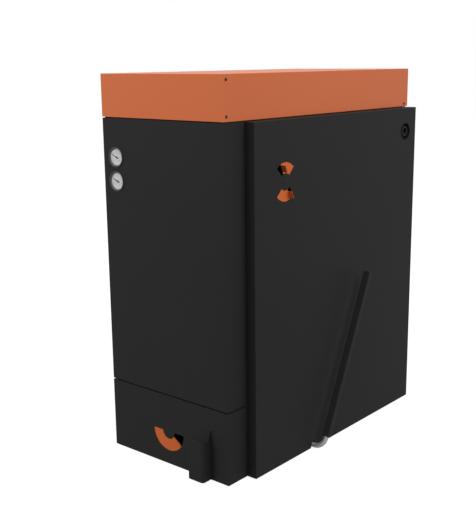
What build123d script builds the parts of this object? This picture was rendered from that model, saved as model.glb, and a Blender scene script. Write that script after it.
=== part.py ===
from build123d import *
import math
import os

# A top-loading coal boiler in a sheet-metal casing, in millimetres.
# X runs to the right, the front faces -Y and Z is up. The origin is on the floor, midway under the casing.

# Casing, overall
height = 1200
casing_width = 490
casing_depth = 980
cover_height = 128
cover_gap = 3
floor_gap = 5
front_depth = 86
panel_proud = 35
door_height = 225
seam_gap = 5
sheet = 1.5

# Welded vessel
side_gap = 70
rear_gap = 42
front_clearance = 4
plate = 5
water_gap = 35
jacket_bottom = 112
vessel_drop = 190
top_plate_thickness = 8
chamber_depth = 375
water_wall = 35
pass_depth = 80
throat_height = 330
crossing_drop = 80

# Ash pit and its opening
opening_half = 163
opening_bottom = 26
opening_top = 210
pit_floor = 3
pit_depth = 440

# Grate and its lever
grate_top = 150
grate_thickness = 24
grate_side = 20
bar_pitch = 26
bar_width = 16
bar_foot = 12
ledge_width = 20
ledge_thickness = 8
shaft_y = -109
shaft_height = 14
shaft_radius = 8
shaft_fit = 0.05
arm_radius = 78
arm_tip_radius = 10
arm_thickness = 10
arm_x = 189
lever_swing = 24
lever_tilt = 24.5
lever_offset = 320
lever_length = 590
lever_start = 37
lever_width = 24
lever_depth = 16
elbow_radius = 34
running_gap = 0.4

# Ash pan
pan_half = 160
pan_bottom = 30
pan_height = 58
pan_sheet = 2
pan_front = -388
pan_rear = 12

# Necks and covers on top of the vessel
neck_half = 150
neck_wall = 8
hatch_front = -330
hatch_rear = -30
hatch_neck_height = 80
cleaning_front = 62
cleaning_rear = 392
cleaning_neck_height = 62
rope = 4
lid_plate = 8
hatch_pin_radius = 5

# Connections
flue_radius = 75
flue_wall = 4
flue_drop = 130
flue_reach = 70
main_socket_radius = 29
main_thread_radius = 22.42
drain_socket_radius = 13.5
drain_thread_radius = 9.32
side_socket_radius = 17.5
side_thread_radius = 12.06
flow_x = -115
flow_drop = 50
return_x = 115
return_height = 200
drain_x = -115
drain_height = 165
side_socket_y = 421
side_socket_drop = 20

# Air inlets
front_slot_height = 113.5
slot_inner = 24
slot_outer = 64
front_disc_open = 35
side_inlet_y = -260
side_inlet_drop = 121
side_slot_inner = 25
side_slot_outer = 58
side_disc_open = 22
disc_sheet = 1.5
disc_gap = 0.3
tab_reach = 15
lip_reach = 3

# Gauges
gauge_inset = 55
gauge_drop = 117
gauge_pitch = 73
gauge_radius = 31
gauge_recess = 1.5
needle_angle = 158

# Ash door
hinge_x = -237.5
hinge_y = -425
hinge_pin_radius = 4
inner_plate = 4
handle_left = 120
handle_right = 177.5
handle_reach = 39.5
handle_bottom = 7
handle_rim = 136
handle_top = 163
handle_sheet = 2

# Catch of the ash door
tongue_x = 222
tongue_width = 14
tongue_reach = 18
tongue_thickness = 4
tongue_height = 110

# Top cover hinges
cover_pin_radius = 2
knuckle_radius = 4
cover_hinge_x = 150
cover_hinge_width = 60

# Places worked out from the sizes above
half = casing_width / 2
front_y = -casing_depth / 2
rear_y = casing_depth / 2
cover_bottom = height - cover_height
panel_top = cover_bottom - cover_gap
door_top = floor_gap + door_height
upper_bottom = door_top + seam_gap
flange_y = front_y + front_depth
panel_face = half + panel_proud
shell_half = panel_face - side_gap
shell_front = flange_y + front_clearance
shell_rear = rear_y - rear_gap
fire_half = shell_half - 2 * plate - water_gap
fire_front = shell_front + 2 * plate + water_gap
fire_rear = shell_rear - 2 * plate - water_gap
vessel_top = height - vessel_drop
jacket_top = vessel_top - top_plate_thickness
crossing_height = vessel_top - crossing_drop
hatch_neck_top = vessel_top + hatch_neck_height
cleaning_neck_top = vessel_top + cleaning_neck_height
flue_height = vessel_top - flue_drop
flow_height = vessel_top - flow_drop
side_socket_height = vessel_top - side_socket_drop
side_inlet_height = vessel_top - side_inlet_drop
gauge_x = gauge_inset - half
thermometer_height = panel_top - gauge_drop
pressure_height = thermometer_height - gauge_pitch
fire_bottom = jacket_bottom + plate
chamber_rear = fire_front + chamber_depth
grate_bottom = grate_top - grate_thickness
pit_rear = shell_front + pit_depth
lever_direction = (0, math.sin(math.radians(lever_tilt)), math.cos(math.radians(lever_tilt)))
arm_tilt = lever_swing / 2
rake_travel = arm_radius * math.radians(lever_swing)
water_wall_fronts = [chamber_rear + i * (water_wall + pass_depth) for i in range(3)]

os.makedirs("parts", exist_ok=True)


def slab(x_span, y_span, z_span, mode=Mode.ADD):
    """A rectangular block between two limits on each axis, added to or cut from the part being built."""
    with BuildSketch(Plane.XY.offset(z_span[0])) as outline:
        with Locations(((x_span[0] + x_span[1]) / 2, (y_span[0] + y_span[1]) / 2)):
            Rectangle(x_span[1] - x_span[0], y_span[1] - y_span[0])
    extrude(outline.sketch, amount=z_span[1] - z_span[0], mode=mode)


def facing_back(x, y, z):
    """A plane whose normal points to the rear, with its own X to the right and its own Y down."""
    return Plane(origin=(x, y, z), x_dir=(1, 0, 0), z_dir=(0, 1, 0))


def facing_front(x, y, z):
    """A plane whose normal points to the front, with its own X to the right and its own Y up."""
    return Plane(origin=(x, y, z), x_dir=(1, 0, 0), z_dir=(0, -1, 0))


def facing_right(x, y, z):
    """A plane whose normal points to the right, with its own X to the rear and its own Y up."""
    return Plane(origin=(x, y, z), x_dir=(0, 1, 0), z_dir=(1, 0, 0))


def round_bar(plane, radius, length, mode=Mode.ADD):
    """A cylinder that starts on a plane and runs along its normal."""
    with BuildSketch(plane) as outline:
        Circle(radius)
    extrude(outline.sketch, amount=length, mode=mode)


def ring_sector(plane, radii, start, sweep, length, mode=Mode.ADD):
    """A plate in the shape of a ring sector, with angles in degrees from the plane's own X axis."""
    with BuildSketch(plane) as outline:
        with BuildLine():
            a = CenterArc((0, 0), radii[1], start, sweep)
            b = CenterArc((0, 0), radii[0], start, sweep)
            Line(a @ 0, b @ 0)
            Line(a @ 1, b @ 1)
        make_face()
    extrude(outline.sketch, amount=length, mode=mode)


def hex_head(plane, across, length):
    """The hexagon head of a small sheet-metal screw."""
    with BuildSketch(plane) as outline:
        RegularPolygon(across / 2, 6, major_radius=False)
    extrude(outline.sketch, amount=length)


def finish(part, name):
    """Label a finished piece and write it."""
    part.part.label = name
    export_step(part.part, f"parts/{name}.step")


# Outer shell of the water vessel: four plates with the fire door's opening, flue and socket holes

weld_hole_clearance = 2.5
with BuildPart() as outer_shell:
    slab((-shell_half, shell_half), (shell_front, shell_rear), (jacket_bottom, jacket_top))
    slab((plate - shell_half, shell_half - plate), (shell_front + plate, shell_rear - plate),
         (jacket_bottom, jacket_top), mode=Mode.SUBTRACT)
    slab((-opening_half, opening_half), (shell_front, shell_front + plate),
         (jacket_bottom, opening_top), mode=Mode.SUBTRACT)
    round_bar(facing_back(0, shell_rear - plate, flue_height), flue_radius, plate, mode=Mode.SUBTRACT)
    for x, z in ((flow_x, flow_height), (return_x, return_height)):
        round_bar(facing_back(x, shell_rear - plate, z), main_thread_radius + weld_hole_clearance, plate,
                  mode=Mode.SUBTRACT)
    round_bar(facing_back(drain_x, shell_rear - plate, drain_height),
              drain_thread_radius + weld_hole_clearance / 2, plate, mode=Mode.SUBTRACT)
    round_bar(facing_right(shell_half - plate, side_socket_y, side_socket_height),
              side_thread_radius + weld_hole_clearance, plate, mode=Mode.SUBTRACT)
    sleeve_radius = 30
    round_bar(facing_right(shell_half - plate, side_inlet_y, side_inlet_height), sleeve_radius, plate,
              mode=Mode.SUBTRACT)
    stem_radius = 6.5
    for z in (thermometer_height, pressure_height):
        round_bar(facing_back(gauge_x, shell_front, z), stem_radius, plate, mode=Mode.SUBTRACT)
finish(outer_shell, "outer_shell")

# Firebox: the inner plates of the vessel, with the fire door's tunnel, the water wall slots and the grate ledges

slot_end = 30
grate_clearance = 5
ledge_front = fire_front + grate_clearance
ledge_rear = chamber_rear - grate_clearance
with BuildPart() as firebox:
    outer_half = fire_half + plate
    slab((-outer_half, outer_half), (fire_front - plate, fire_rear + plate), (fire_bottom, jacket_top))
    slab((-fire_half, fire_half), (fire_front, fire_rear), (fire_bottom, jacket_top), mode=Mode.SUBTRACT)
    slab((-fire_half, fire_half), (fire_front - plate, fire_front), (fire_bottom, opening_top),
         mode=Mode.SUBTRACT)
    for side in (-1, 1):
        cheek = sorted((side * fire_half, side * outer_half))
        slab(cheek, (shell_front + plate, fire_front - plate), (fire_bottom, opening_top + plate))
    slab((-fire_half, fire_half), (shell_front + plate, fire_front - plate), (opening_top, opening_top + plate))
    for y, low, high in zip(water_wall_fronts, (throat_height, fire_bottom, throat_height),
                            (jacket_top, crossing_height, jacket_top)):
        slab((-outer_half, outer_half), (y + plate, y + water_wall - plate), (low + slot_end, high - slot_end),
             mode=Mode.SUBTRACT)
    round_bar(facing_back(0, fire_rear, flue_height), flue_radius, plate, mode=Mode.SUBTRACT)
    round_bar(facing_right(fire_half, side_inlet_y, side_inlet_height), sleeve_radius, plate,
              mode=Mode.SUBTRACT)
    for side in (-1, 1):
        slab(sorted((side * (fire_half - ledge_width), side * fire_half)), (ledge_front, ledge_rear),
             (grate_bottom - ledge_thickness, grate_bottom))
finish(firebox, "firebox")

# Water walls: three flat double walls that send the flue gas down, up, down and up

with BuildPart() as water_walls:
    for y, low, high in zip(water_wall_fronts, (throat_height, fire_bottom, throat_height),
                            (jacket_top, crossing_height, jacket_top)):
        slab((-fire_half, fire_half), (y, y + water_wall), (low, high))
        slab((-fire_half, fire_half), (y + plate, y + water_wall - plate), (low + plate, high - plate),
             mode=Mode.SUBTRACT)
finish(water_walls, "water_walls")

# Bottom plate: closes the water jacket and the flue passes, open under the grate

with BuildPart() as bottom_plate:
    slab((plate - shell_half, shell_half - plate), (shell_front + plate, shell_rear - plate),
         (jacket_bottom, fire_bottom))
    slab((-fire_half, fire_half), (shell_front + plate, chamber_rear), (jacket_bottom, fire_bottom),
         mode=Mode.SUBTRACT)
finish(bottom_plate, "bottom_plate")

# Top plate of the vessel, with the fuel and cleaning openings

with BuildPart() as top_plate:
    slab((-shell_half, shell_half), (shell_front, shell_rear), (jacket_top, vessel_top))
    slab((-neck_half, neck_half), (hatch_front, hatch_rear), (jacket_top, vessel_top), mode=Mode.SUBTRACT)
    slab((-neck_half, neck_half), (cleaning_front, cleaning_rear), (jacket_top, vessel_top),
         mode=Mode.SUBTRACT)
finish(top_plate, "top_plate")

# Ash pit: the dry box under the vessel, which stands on the floor

shaft_hole_radius = shaft_radius + 1
with BuildPart() as ash_pit:
    slab((-shell_half, shell_half), (shell_front, shell_rear), (0, jacket_bottom))
    slab((plate - shell_half, shell_half - plate), (shell_front + plate, pit_rear), (pit_floor, jacket_bottom),
         mode=Mode.SUBTRACT)
    slab((plate - shell_half, shell_half - plate), (pit_rear + plate, shell_rear), (0, jacket_bottom),
         mode=Mode.SUBTRACT)
    slab((-opening_half, opening_half), (shell_front, shell_front + plate), (opening_bottom, jacket_bottom),
         mode=Mode.SUBTRACT)
    round_bar(facing_right(-shell_half, shaft_y, shaft_height), shaft_hole_radius, 2 * shell_half,
              mode=Mode.SUBTRACT)
finish(ash_pit, "ash_pit")

# Fixed grate: a cast frame with every second bar and two cross ribs under the moving bars

frame_half = fire_half - 2
frame_end = 18
bar_count = 11
rib_width = 12
bar_clearance = 0.3
inner_front = ledge_front + frame_end
inner_rear = ledge_rear - frame_end
rib_top = grate_top - frame_end
bar_places = [(i - (bar_count - 1) / 2) * bar_pitch for i in range(bar_count)]


def grate_bar(x, y_start, length, depth):
    """A grate bar that is narrower at its foot, so that the ash falls free."""
    with BuildSketch(facing_back(x, y_start, grate_top)) as outline:
        with BuildLine():
            Polyline((-bar_width / 2, 0), (bar_width / 2, 0), (bar_foot / 2, depth), (-bar_foot / 2, depth),
                     close=True)
        make_face()
    extrude(outline.sketch, amount=length)


with BuildPart() as grate_frame:
    slab((-frame_half, frame_half), (ledge_front, ledge_rear), (grate_bottom, grate_top))
    slab((grate_side - frame_half, frame_half - grate_side), (inner_front, inner_rear),
         (grate_bottom, grate_top), mode=Mode.SUBTRACT)
    for x in bar_places[1::2]:
        grate_bar(x, inner_front, inner_rear - inner_front, grate_thickness)
    for y in (inner_front + 80, inner_rear - 40):
        slab((grate_side - frame_half, frame_half - grate_side), (y - rib_width / 2, y + rib_width / 2),
             (grate_bottom - 4, rib_top - bar_clearance))
finish(grate_frame, "grate_frame")

# Moving grate: the other bars on one crossbar, with the fork that the lever's arm works in

rake_slack = 3
arm_swing_y = arm_radius * math.sin(math.radians(arm_tilt))
fork_y = shaft_y + arm_swing_y
crossbar_bottom = 90
crossbar_top = 104
crossbar_depth = 20
fork_bottom = 76
fork_slot_top = shaft_height + arm_radius + arm_tip_radius + running_gap
fork_top = fork_slot_top + 5
fork_wall = 12
fork_half = arm_tip_radius + running_gap
fork_left = arm_x - arm_thickness / 2 - 8
fork_right = arm_x + arm_thickness / 2 + 8
rake_rear = inner_rear - rake_slack
rake_front = inner_front + rake_slack + rake_travel
with BuildPart() as grate_rake:
    for x in bar_places[0::2]:
        grate_bar(x, rake_front, rake_rear - rake_front, frame_end)
        slab((x - bar_foot / 2, x + bar_foot / 2), (fork_y - 8, fork_y + 8), (crossbar_top, rib_top))
    slab((bar_places[0] - bar_foot / 2, fork_left), (fork_y - crossbar_depth / 2, fork_y + crossbar_depth / 2),
         (crossbar_bottom, crossbar_top))
    slab((fork_left, fork_right), (fork_y - fork_half - fork_wall, fork_y + fork_half + fork_wall),
         (fork_bottom, fork_top))
    slab((fork_left, fork_right), (fork_y - fork_half, fork_y + fork_half), (fork_bottom, fork_slot_top),
         mode=Mode.SUBTRACT)
    slab((fork_left - fork_wall, fork_left), (fork_y - fork_half - fork_wall, fork_y + fork_half + fork_wall),
         (crossbar_bottom, crossbar_top))
finish(grate_rake, "grate_rake")

# Fire guard: a slotted cast strip that keeps the embers behind the door opening

guard_height = 45
guard_thickness = 8
guard_half = frame_half - grate_side - 3
guard_slots = 9
guard_slot_width = 12
guard_slot_margin = 10
guard_front = ledge_front + 4
with BuildPart() as fire_guard:
    with BuildSketch(facing_front(0, guard_front + guard_thickness, grate_top + guard_height / 2)):
        Rectangle(2 * guard_half, guard_height)
        with GridLocations(2 * guard_half / guard_slots, 1, guard_slots, 1):
            Rectangle(guard_slot_width, guard_height - 2 * guard_slot_margin, mode=Mode.SUBTRACT)
    extrude(amount=guard_thickness)
finish(fire_guard, "fire_guard")

# Chamotte plates on both sides of the fire

brick_thickness = 24
brick_height = 150
brick_margin = 12
with BuildPart() as chamotte_plates:
    slab((fire_half - brick_thickness, fire_half), (fire_front + brick_margin, chamber_rear - brick_margin),
         (grate_top, grate_top + brick_height))
    chamfer(chamotte_plates.edges().filter_by(Axis.Y).group_by(Axis.Z)[-1].sort_by(Axis.X)[0], length=8)
    mirror(about=Plane.YZ)
finish(chamotte_plates, "chamotte_plates")

# Neck of the fuel hatch, with the lugs of its hinge

hatch_pin_y = hatch_rear + neck_wall + 16
hatch_seat = hatch_neck_top + rope
hatch_pin_z = hatch_seat + lid_plate / 2
lug_x = 90
lug_width = 10
lug_gap = 0.5
lug_radius = 9
with BuildPart() as fuel_hatch_frame:
    slab((-neck_half - neck_wall, neck_half + neck_wall), (hatch_front - neck_wall, hatch_rear + neck_wall),
         (vessel_top, hatch_neck_top))
    slab((-neck_half, neck_half), (hatch_front, hatch_rear), (vessel_top, hatch_neck_top), mode=Mode.SUBTRACT)
    lug_back = hatch_rear + neck_wall
    for x in (-lug_x - lug_width / 2, lug_x - lug_width / 2):
        with BuildSketch(facing_right(x, hatch_pin_y, hatch_pin_z)) as lug:
            Circle(lug_radius)
            with BuildLine():
                Polyline((lug_back - hatch_pin_y, -12), (lug_back - hatch_pin_y, -40), (lug_radius, 0),
                         (0, 0), close=True)
            make_face()
            Circle(hatch_pin_radius, mode=Mode.SUBTRACT)
        extrude(lug.sketch, amount=lug_width)
finish(fuel_hatch_frame, "fuel_hatch_frame")

# Neck of the cleaning opening, with four lugs for its studs

stud_radius = 6
stud_x = neck_half + neck_wall + 14
stud_places = [(sx * stud_x, y) for sx in (-1, 1) for y in (cleaning_front + 60, cleaning_rear - 60)]
stud_lug = 28
stud_lug_rise = 30
stud_lug_height = 15
stud_lug_bottom = vessel_top + stud_lug_rise
stud_lug_top = stud_lug_bottom + stud_lug_height
with BuildPart() as cleaning_frame:
    slab((-neck_half - neck_wall, neck_half + neck_wall), (cleaning_front - neck_wall, cleaning_rear + neck_wall),
         (vessel_top, cleaning_neck_top))
    slab((-neck_half, neck_half), (cleaning_front, cleaning_rear), (vessel_top, cleaning_neck_top),
         mode=Mode.SUBTRACT)
    for x, y in stud_places:
        slab((x - stud_lug / 2, x + stud_lug / 2), (y - stud_lug / 2, y + stud_lug / 2),
             (stud_lug_bottom, stud_lug_top))
    slab((-neck_half, neck_half), (cleaning_front, cleaning_rear), (vessel_top, cleaning_neck_top),
         mode=Mode.SUBTRACT)
    for x, y in stud_places:
        round_bar(Plane.XY.offset(stud_lug_bottom).move(Location((x, y, 0))), stud_radius,
                  stud_lug_top - stud_lug_bottom, mode=Mode.SUBTRACT)
finish(cleaning_frame, "cleaning_frame")

# Cleaning cover with its rope seal, studs and wing nuts

cleaning_seat = cleaning_neck_top + rope
cover_overlap = 7
cover_plate_half = stud_x + 14
stud_clearance = 1
with BuildPart() as cleaning_cover:
    slab((-cover_plate_half, cover_plate_half),
         (cleaning_front - neck_wall - cover_overlap, cleaning_rear + neck_wall + cover_overlap),
         (cleaning_seat, cleaning_seat + lid_plate))
    fillet(cleaning_cover.edges().filter_by(Axis.Z), radius=12)
    for x, y in stud_places:
        round_bar(Plane.XY.offset(cleaning_seat).move(Location((x, y, 0))), stud_radius + stud_clearance,
                  lid_plate, mode=Mode.SUBTRACT)
finish(cleaning_cover, "cleaning_cover")

with BuildPart() as cleaning_seal:
    slab((-neck_half - neck_wall, neck_half + neck_wall), (cleaning_front - neck_wall, cleaning_rear + neck_wall),
         (cleaning_neck_top, cleaning_seat))
    slab((-neck_half, neck_half), (cleaning_front, cleaning_rear), (cleaning_neck_top, cleaning_seat),
         mode=Mode.SUBTRACT)
finish(cleaning_seal, "cleaning_seal")

wing_half = 17
wing_top = 18
wing_thickness = 4
nut_radius = 10
nut_height = 12
stud_tail = 8
with BuildPart() as cleaning_fasteners:
    nut_bottom = cleaning_seat + lid_plate
    for x, y in stud_places:
        here = Location((x, y, 0))
        round_bar(Plane.XY.offset(stud_lug_bottom).move(here), stud_radius,
                  nut_bottom + nut_height + stud_tail - stud_lug_bottom)
        round_bar(Plane.XY.offset(nut_bottom).move(here), nut_radius, nut_height)
        with BuildSketch(facing_right(x - wing_thickness / 2, y, nut_bottom)) as wings:
            with BuildLine():
                Polyline((0, 4), (nut_radius - 1, 2), (wing_half, wing_top - 3), (wing_half - 4, wing_top),
                         (nut_radius - 2, nut_height), (2 - nut_radius, nut_height), (4 - wing_half, wing_top),
                         (-wing_half, wing_top - 3), (1 - nut_radius, 2), close=True)
            make_face()
        extrude(wings.sketch, amount=wing_thickness)
finish(cleaning_fasteners, "cleaning_fasteners")

# Flue spigot with its weld collar

collar_radius = 88
collar_thickness = 5
flue_end = rear_y + flue_reach
with BuildPart() as flue_spigot:
    round_bar(facing_back(0, fire_rear, flue_height), flue_radius, flue_end - fire_rear)
    round_bar(facing_back(0, shell_rear, flue_height), collar_radius, collar_thickness)
    round_bar(facing_back(0, fire_rear, flue_height), flue_radius - flue_wall, flue_end - fire_rear,
              mode=Mode.SUBTRACT)
finish(flue_spigot, "flue_spigot")

# Threaded sockets for flow, return, drain and the side connection

socket_end = rear_y + 20
with BuildPart() as main_sockets:
    for x, z in ((flow_x, flow_height), (return_x, return_height)):
        with BuildSketch(facing_back(x, shell_rear, z)) as ring:
            Circle(main_socket_radius)
            Circle(main_thread_radius, mode=Mode.SUBTRACT)
        extrude(ring.sketch, amount=socket_end - shell_rear)
finish(main_sockets, "main_sockets")

with BuildPart() as drain_socket:
    with BuildSketch(facing_back(drain_x, shell_rear, drain_height)):
        Circle(drain_socket_radius)
        Circle(drain_thread_radius, mode=Mode.SUBTRACT)
    extrude(amount=socket_end - shell_rear)
finish(drain_socket, "drain_socket")

side_socket_end = panel_face - 2
with BuildPart() as side_socket:
    with BuildSketch(facing_right(shell_half, side_socket_y, side_socket_height)):
        Circle(side_socket_radius)
        Circle(side_thread_radius, mode=Mode.SUBTRACT)
    extrude(amount=side_socket_end - shell_half)
finish(side_socket, "side_socket")

# Air duct of the side inlet: a sleeve through the water jacket that widens to the casing

duct_radius = side_slot_outer + 8
duct_wall = 1.5
sleeve_wall = 4
duct_end = panel_face - sheet - disc_gap
with BuildPart() as side_air_duct:
    with BuildSketch(Plane(origin=(0, side_inlet_y, side_inlet_height), x_dir=(1, 0, 0), z_dir=(0, -1, 0))):
        with BuildLine():
            Polyline((fire_half, sleeve_radius - sleeve_wall), (fire_half, sleeve_radius),
                     (shell_half, sleeve_radius), (shell_half, duct_radius), (duct_end, duct_radius),
                     (duct_end, duct_radius - duct_wall), (shell_half + 3, duct_radius - duct_wall),
                     (shell_half + 3, sleeve_radius - sleeve_wall), close=True)
        make_face()
    revolve(axis=Axis((0, side_inlet_y, side_inlet_height), (1, 0, 0)))
finish(side_air_duct, "side_air_duct")

# Base rails under the side panels, notched round the shaft bearings

rail_height = 40
rail_thickness = 4
rail_reach = 60
bearing_half = 22
bearing_height = 30
bearing_thickness = 14
with BuildPart() as base_rails:
    slab((shell_half, shell_half + rail_thickness), (shell_front + plate, rear_y - plate), (0, rail_height))
    slab((shell_half, shell_half + rail_reach), (shell_front + plate, rear_y - plate), (0, rail_thickness))
    slab((shell_half, shell_half + rail_reach), (shaft_y - bearing_half, shaft_y + bearing_half),
         (0, bearing_height), mode=Mode.SUBTRACT)
    mirror(about=Plane.YZ)
finish(base_rails, "base_rails")

bearing_gap = 0.2
with BuildPart() as shaft_bearings:
    for x in (shell_half, -shell_half - bearing_thickness):
        with BuildSketch(facing_right(x, shaft_y, 0)) as block:
            with Locations((0, (bearing_height - bearing_gap) / 2)):
                Rectangle(2 * (bearing_half - bearing_gap), bearing_height - bearing_gap)
            fillet(block.vertices().group_by(Axis.Z)[-1], radius=8)
            with Locations((0, shaft_height)):
                Circle(shaft_radius + shaft_fit, mode=Mode.SUBTRACT)
        extrude(block.sketch, amount=bearing_thickness)
finish(shaft_bearings, "shaft_bearings")

# Runners that the ash pan slides on, arched over the lever shaft

runner_x = 120
runner_width = 8
pan_gap = 0.3
with BuildPart() as pan_runners:
    for x in (-runner_x - runner_width, runner_x):
        slab((x, x + runner_width), (shell_front + plate, pit_rear), (pit_floor, pan_bottom - pan_gap))
    round_bar(facing_right(-runner_x - runner_width, shaft_y, shaft_height), shaft_hole_radius + 1,
              2 * (runner_x + runner_width), mode=Mode.SUBTRACT)
    slab((-runner_x - runner_width, runner_x + runner_width),
         (shaft_y - shaft_hole_radius - 1, shaft_y + shaft_hole_radius + 1), (pit_floor, shaft_height),
         mode=Mode.SUBTRACT)
finish(pan_runners, "pan_runners")

# Brackets of the ash door's hinge: a shelf in the seam, which the front panel stands on, and a foot

shelf_half = half - 8
shelf_front = front_y + 10
bracket_gap = 1
foot_gap = 0.3
bracket_width = 50
with BuildPart() as door_brackets:
    slab((-shelf_half, shelf_half), (shelf_front, shell_front), (door_top + bracket_gap, upper_bottom))
    slab((-half, bracket_width - half), (hinge_y - 10, shell_front), (0, floor_gap - foot_gap))
    round_bar(Plane(origin=(hinge_x, hinge_y, 0)), hinge_pin_radius, upper_bottom, mode=Mode.SUBTRACT)
finish(door_brackets, "door_brackets")

# Side panels: folded trays that stand proud of the door and the cover


def side_tray(side):
    """A tray with its open side towards the vessel, on the right (1) or the left (-1)."""
    outer = sorted((side * half, side * panel_face))
    inner = sorted((side * half, side * (panel_face - sheet)))
    slab(outer, (flange_y, rear_y), (floor_gap, panel_top))
    slab(inner, (flange_y + sheet, rear_y - sheet), (floor_gap + sheet, panel_top - sheet), mode=Mode.SUBTRACT)


with BuildPart() as side_panel_left:
    side_tray(-1)
finish(side_panel_left, "side_panel_left")

lever_notch = 12
socket_hole_radius = 27
with BuildPart() as side_panel_right:
    side_tray(1)
    for start in (45, 225):
        ring_sector(facing_right(panel_face - sheet, side_inlet_y, side_inlet_height),
                    (side_slot_inner, side_slot_outer), start, 90, sheet, mode=Mode.SUBTRACT)
    round_bar(facing_right(panel_face - sheet, side_inlet_y, side_inlet_height), 2.1, sheet,
              mode=Mode.SUBTRACT)
    round_bar(facing_right(panel_face - sheet, side_socket_y, side_socket_height), socket_hole_radius, sheet,
              mode=Mode.SUBTRACT)
    with BuildSketch(facing_right(half, shaft_y, shaft_height)) as notch:
        Circle(lever_notch)
        with Locations((0, -lever_notch)):
            Rectangle(2 * lever_notch, 2 * lever_notch)
    extrude(notch.sketch, amount=panel_proud, mode=Mode.SUBTRACT)
finish(side_panel_right, "side_panel_right")

# Rubber boot in the side socket's hole: a cup with a thin lip outside, closed on the socket at its inner end

boot_lip = 1.2
boot_lip_reach = 1.5
boot_wall = 1.2
boot_depth = 12
with BuildPart() as socket_boot:
    boot_start = panel_face - sheet - boot_depth
    round_bar(facing_right(boot_start, side_socket_y, side_socket_height), socket_hole_radius - disc_gap,
              boot_depth + sheet)
    round_bar(facing_right(panel_face, side_socket_y, side_socket_height), socket_hole_radius + boot_lip_reach,
              boot_lip)
    round_bar(facing_right(boot_start + boot_wall, side_socket_y, side_socket_height),
              socket_hole_radius - disc_gap - boot_wall, boot_depth + sheet + boot_lip, mode=Mode.SUBTRACT)
    round_bar(facing_right(boot_start, side_socket_y, side_socket_height), side_socket_radius + disc_gap, boot_depth,
              mode=Mode.SUBTRACT)
finish(socket_boot, "socket_boot")

# Rear panel, behind the flanges of the side panels, with holes for the flue and the sockets

rear_overlap = 16
rear_hole_clearance = 8
with BuildPart() as rear_panel:
    slab((-half - rear_overlap, half + rear_overlap), (rear_y - 2 * sheet, rear_y - sheet),
         (floor_gap + sheet, panel_top - sheet))
    round_bar(facing_back(0, rear_y - 2 * sheet, flue_height), flue_radius + 2 * rear_hole_clearance, sheet,
              mode=Mode.SUBTRACT)
    for x, z in ((flow_x, flow_height), (return_x, return_height)):
        round_bar(facing_back(x, rear_y - 2 * sheet, z), main_socket_radius + rear_hole_clearance, sheet,
                  mode=Mode.SUBTRACT)
    round_bar(facing_back(drain_x, rear_y - 2 * sheet, drain_height),
              drain_socket_radius + rear_hole_clearance, sheet, mode=Mode.SUBTRACT)
finish(rear_panel, "rear_panel")

# Upper front panel: a folded tray with two gauge holes

with BuildPart() as front_panel:
    slab((-half, half), (front_y, flange_y), (upper_bottom, panel_top))
    slab((sheet - half, half - sheet), (front_y + sheet, flange_y), (upper_bottom + sheet, panel_top - sheet),
         mode=Mode.SUBTRACT)
    fillet(front_panel.edges().filter_by(Axis.Z).group_by(Axis.Y)[0], radius=sheet)
    case_radius = gauge_radius - 5
    for z in (thermometer_height, pressure_height):
        round_bar(facing_back(gauge_x, front_y, z), case_radius + 0.2, sheet, mode=Mode.SUBTRACT)
finish(front_panel, "front_panel")

# Insulation behind the panels: two sides, rear, top and front

wool_gap = 2
hole_gap = 3
with BuildPart() as casing_insulation:
    for side in (-1, 1):
        span = sorted((side * (shell_half + rail_thickness), side * (panel_face - sheet - wool_gap)))
        slab(span, (shell_front, rear_y - 3 * sheet), (rail_height + wool_gap, panel_top - 2 * sheet))
    for y, z, radius in ((side_inlet_y, side_inlet_height, duct_radius),
                         (side_socket_y, side_socket_height, socket_hole_radius)):
        slab((shell_half, panel_face), (y - radius - hole_gap, y + radius + hole_gap),
             (z - radius - hole_gap, z + radius + hole_gap), mode=Mode.SUBTRACT)
    slab((shell_half, tongue_x + tongue_width + 8), (flange_y, flange_y + tongue_reach + 14),
         (tongue_height - 12, tongue_height + tongue_thickness + 12), mode=Mode.SUBTRACT)
    slab((wool_gap - shell_half, shell_half - wool_gap), (shell_rear, rear_y - 2 * sheet),
         (jacket_bottom, vessel_top))
    for x, z, radius in ((0, flue_height, collar_radius), (flow_x, flow_height, main_socket_radius),
                         (return_x, return_height, main_socket_radius),
                         (drain_x, drain_height, drain_socket_radius)):
        slab((x - radius - hole_gap, x + radius + hole_gap), (shell_rear, rear_y),
             (z - radius - hole_gap, z + radius + hole_gap), mode=Mode.SUBTRACT)
    slab((wool_gap - shell_half, shell_half - wool_gap), (shell_front + wool_gap, rear_y - 2 * sheet),
         (vessel_top, panel_top))
    slab((-neck_half - neck_wall - hole_gap, neck_half + neck_wall + hole_gap),
         (hatch_front - neck_wall - hole_gap, hatch_rear + neck_wall + 30), (vessel_top, panel_top),
         mode=Mode.SUBTRACT)
    slab((-stud_x - stud_lug / 2 - hole_gap, stud_x + stud_lug / 2 + hole_gap),
         (cleaning_front - neck_wall - hole_gap, cleaning_rear + neck_wall + hole_gap), (vessel_top, panel_top),
         mode=Mode.SUBTRACT)
    slab((wool_gap - half, half - wool_gap), (front_y + wool_gap, shell_front),
         (upper_bottom + wool_gap, panel_top - wool_gap))
    for z in (thermometer_height, pressure_height):
        slab((gauge_x - gauge_radius, gauge_x + gauge_radius), (front_y, shell_front),
             (z - gauge_radius, z + gauge_radius), mode=Mode.SUBTRACT)
finish(casing_insulation, "casing_insulation")

# Top deck: a folded sheet with an upstand that the cover closes over

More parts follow.
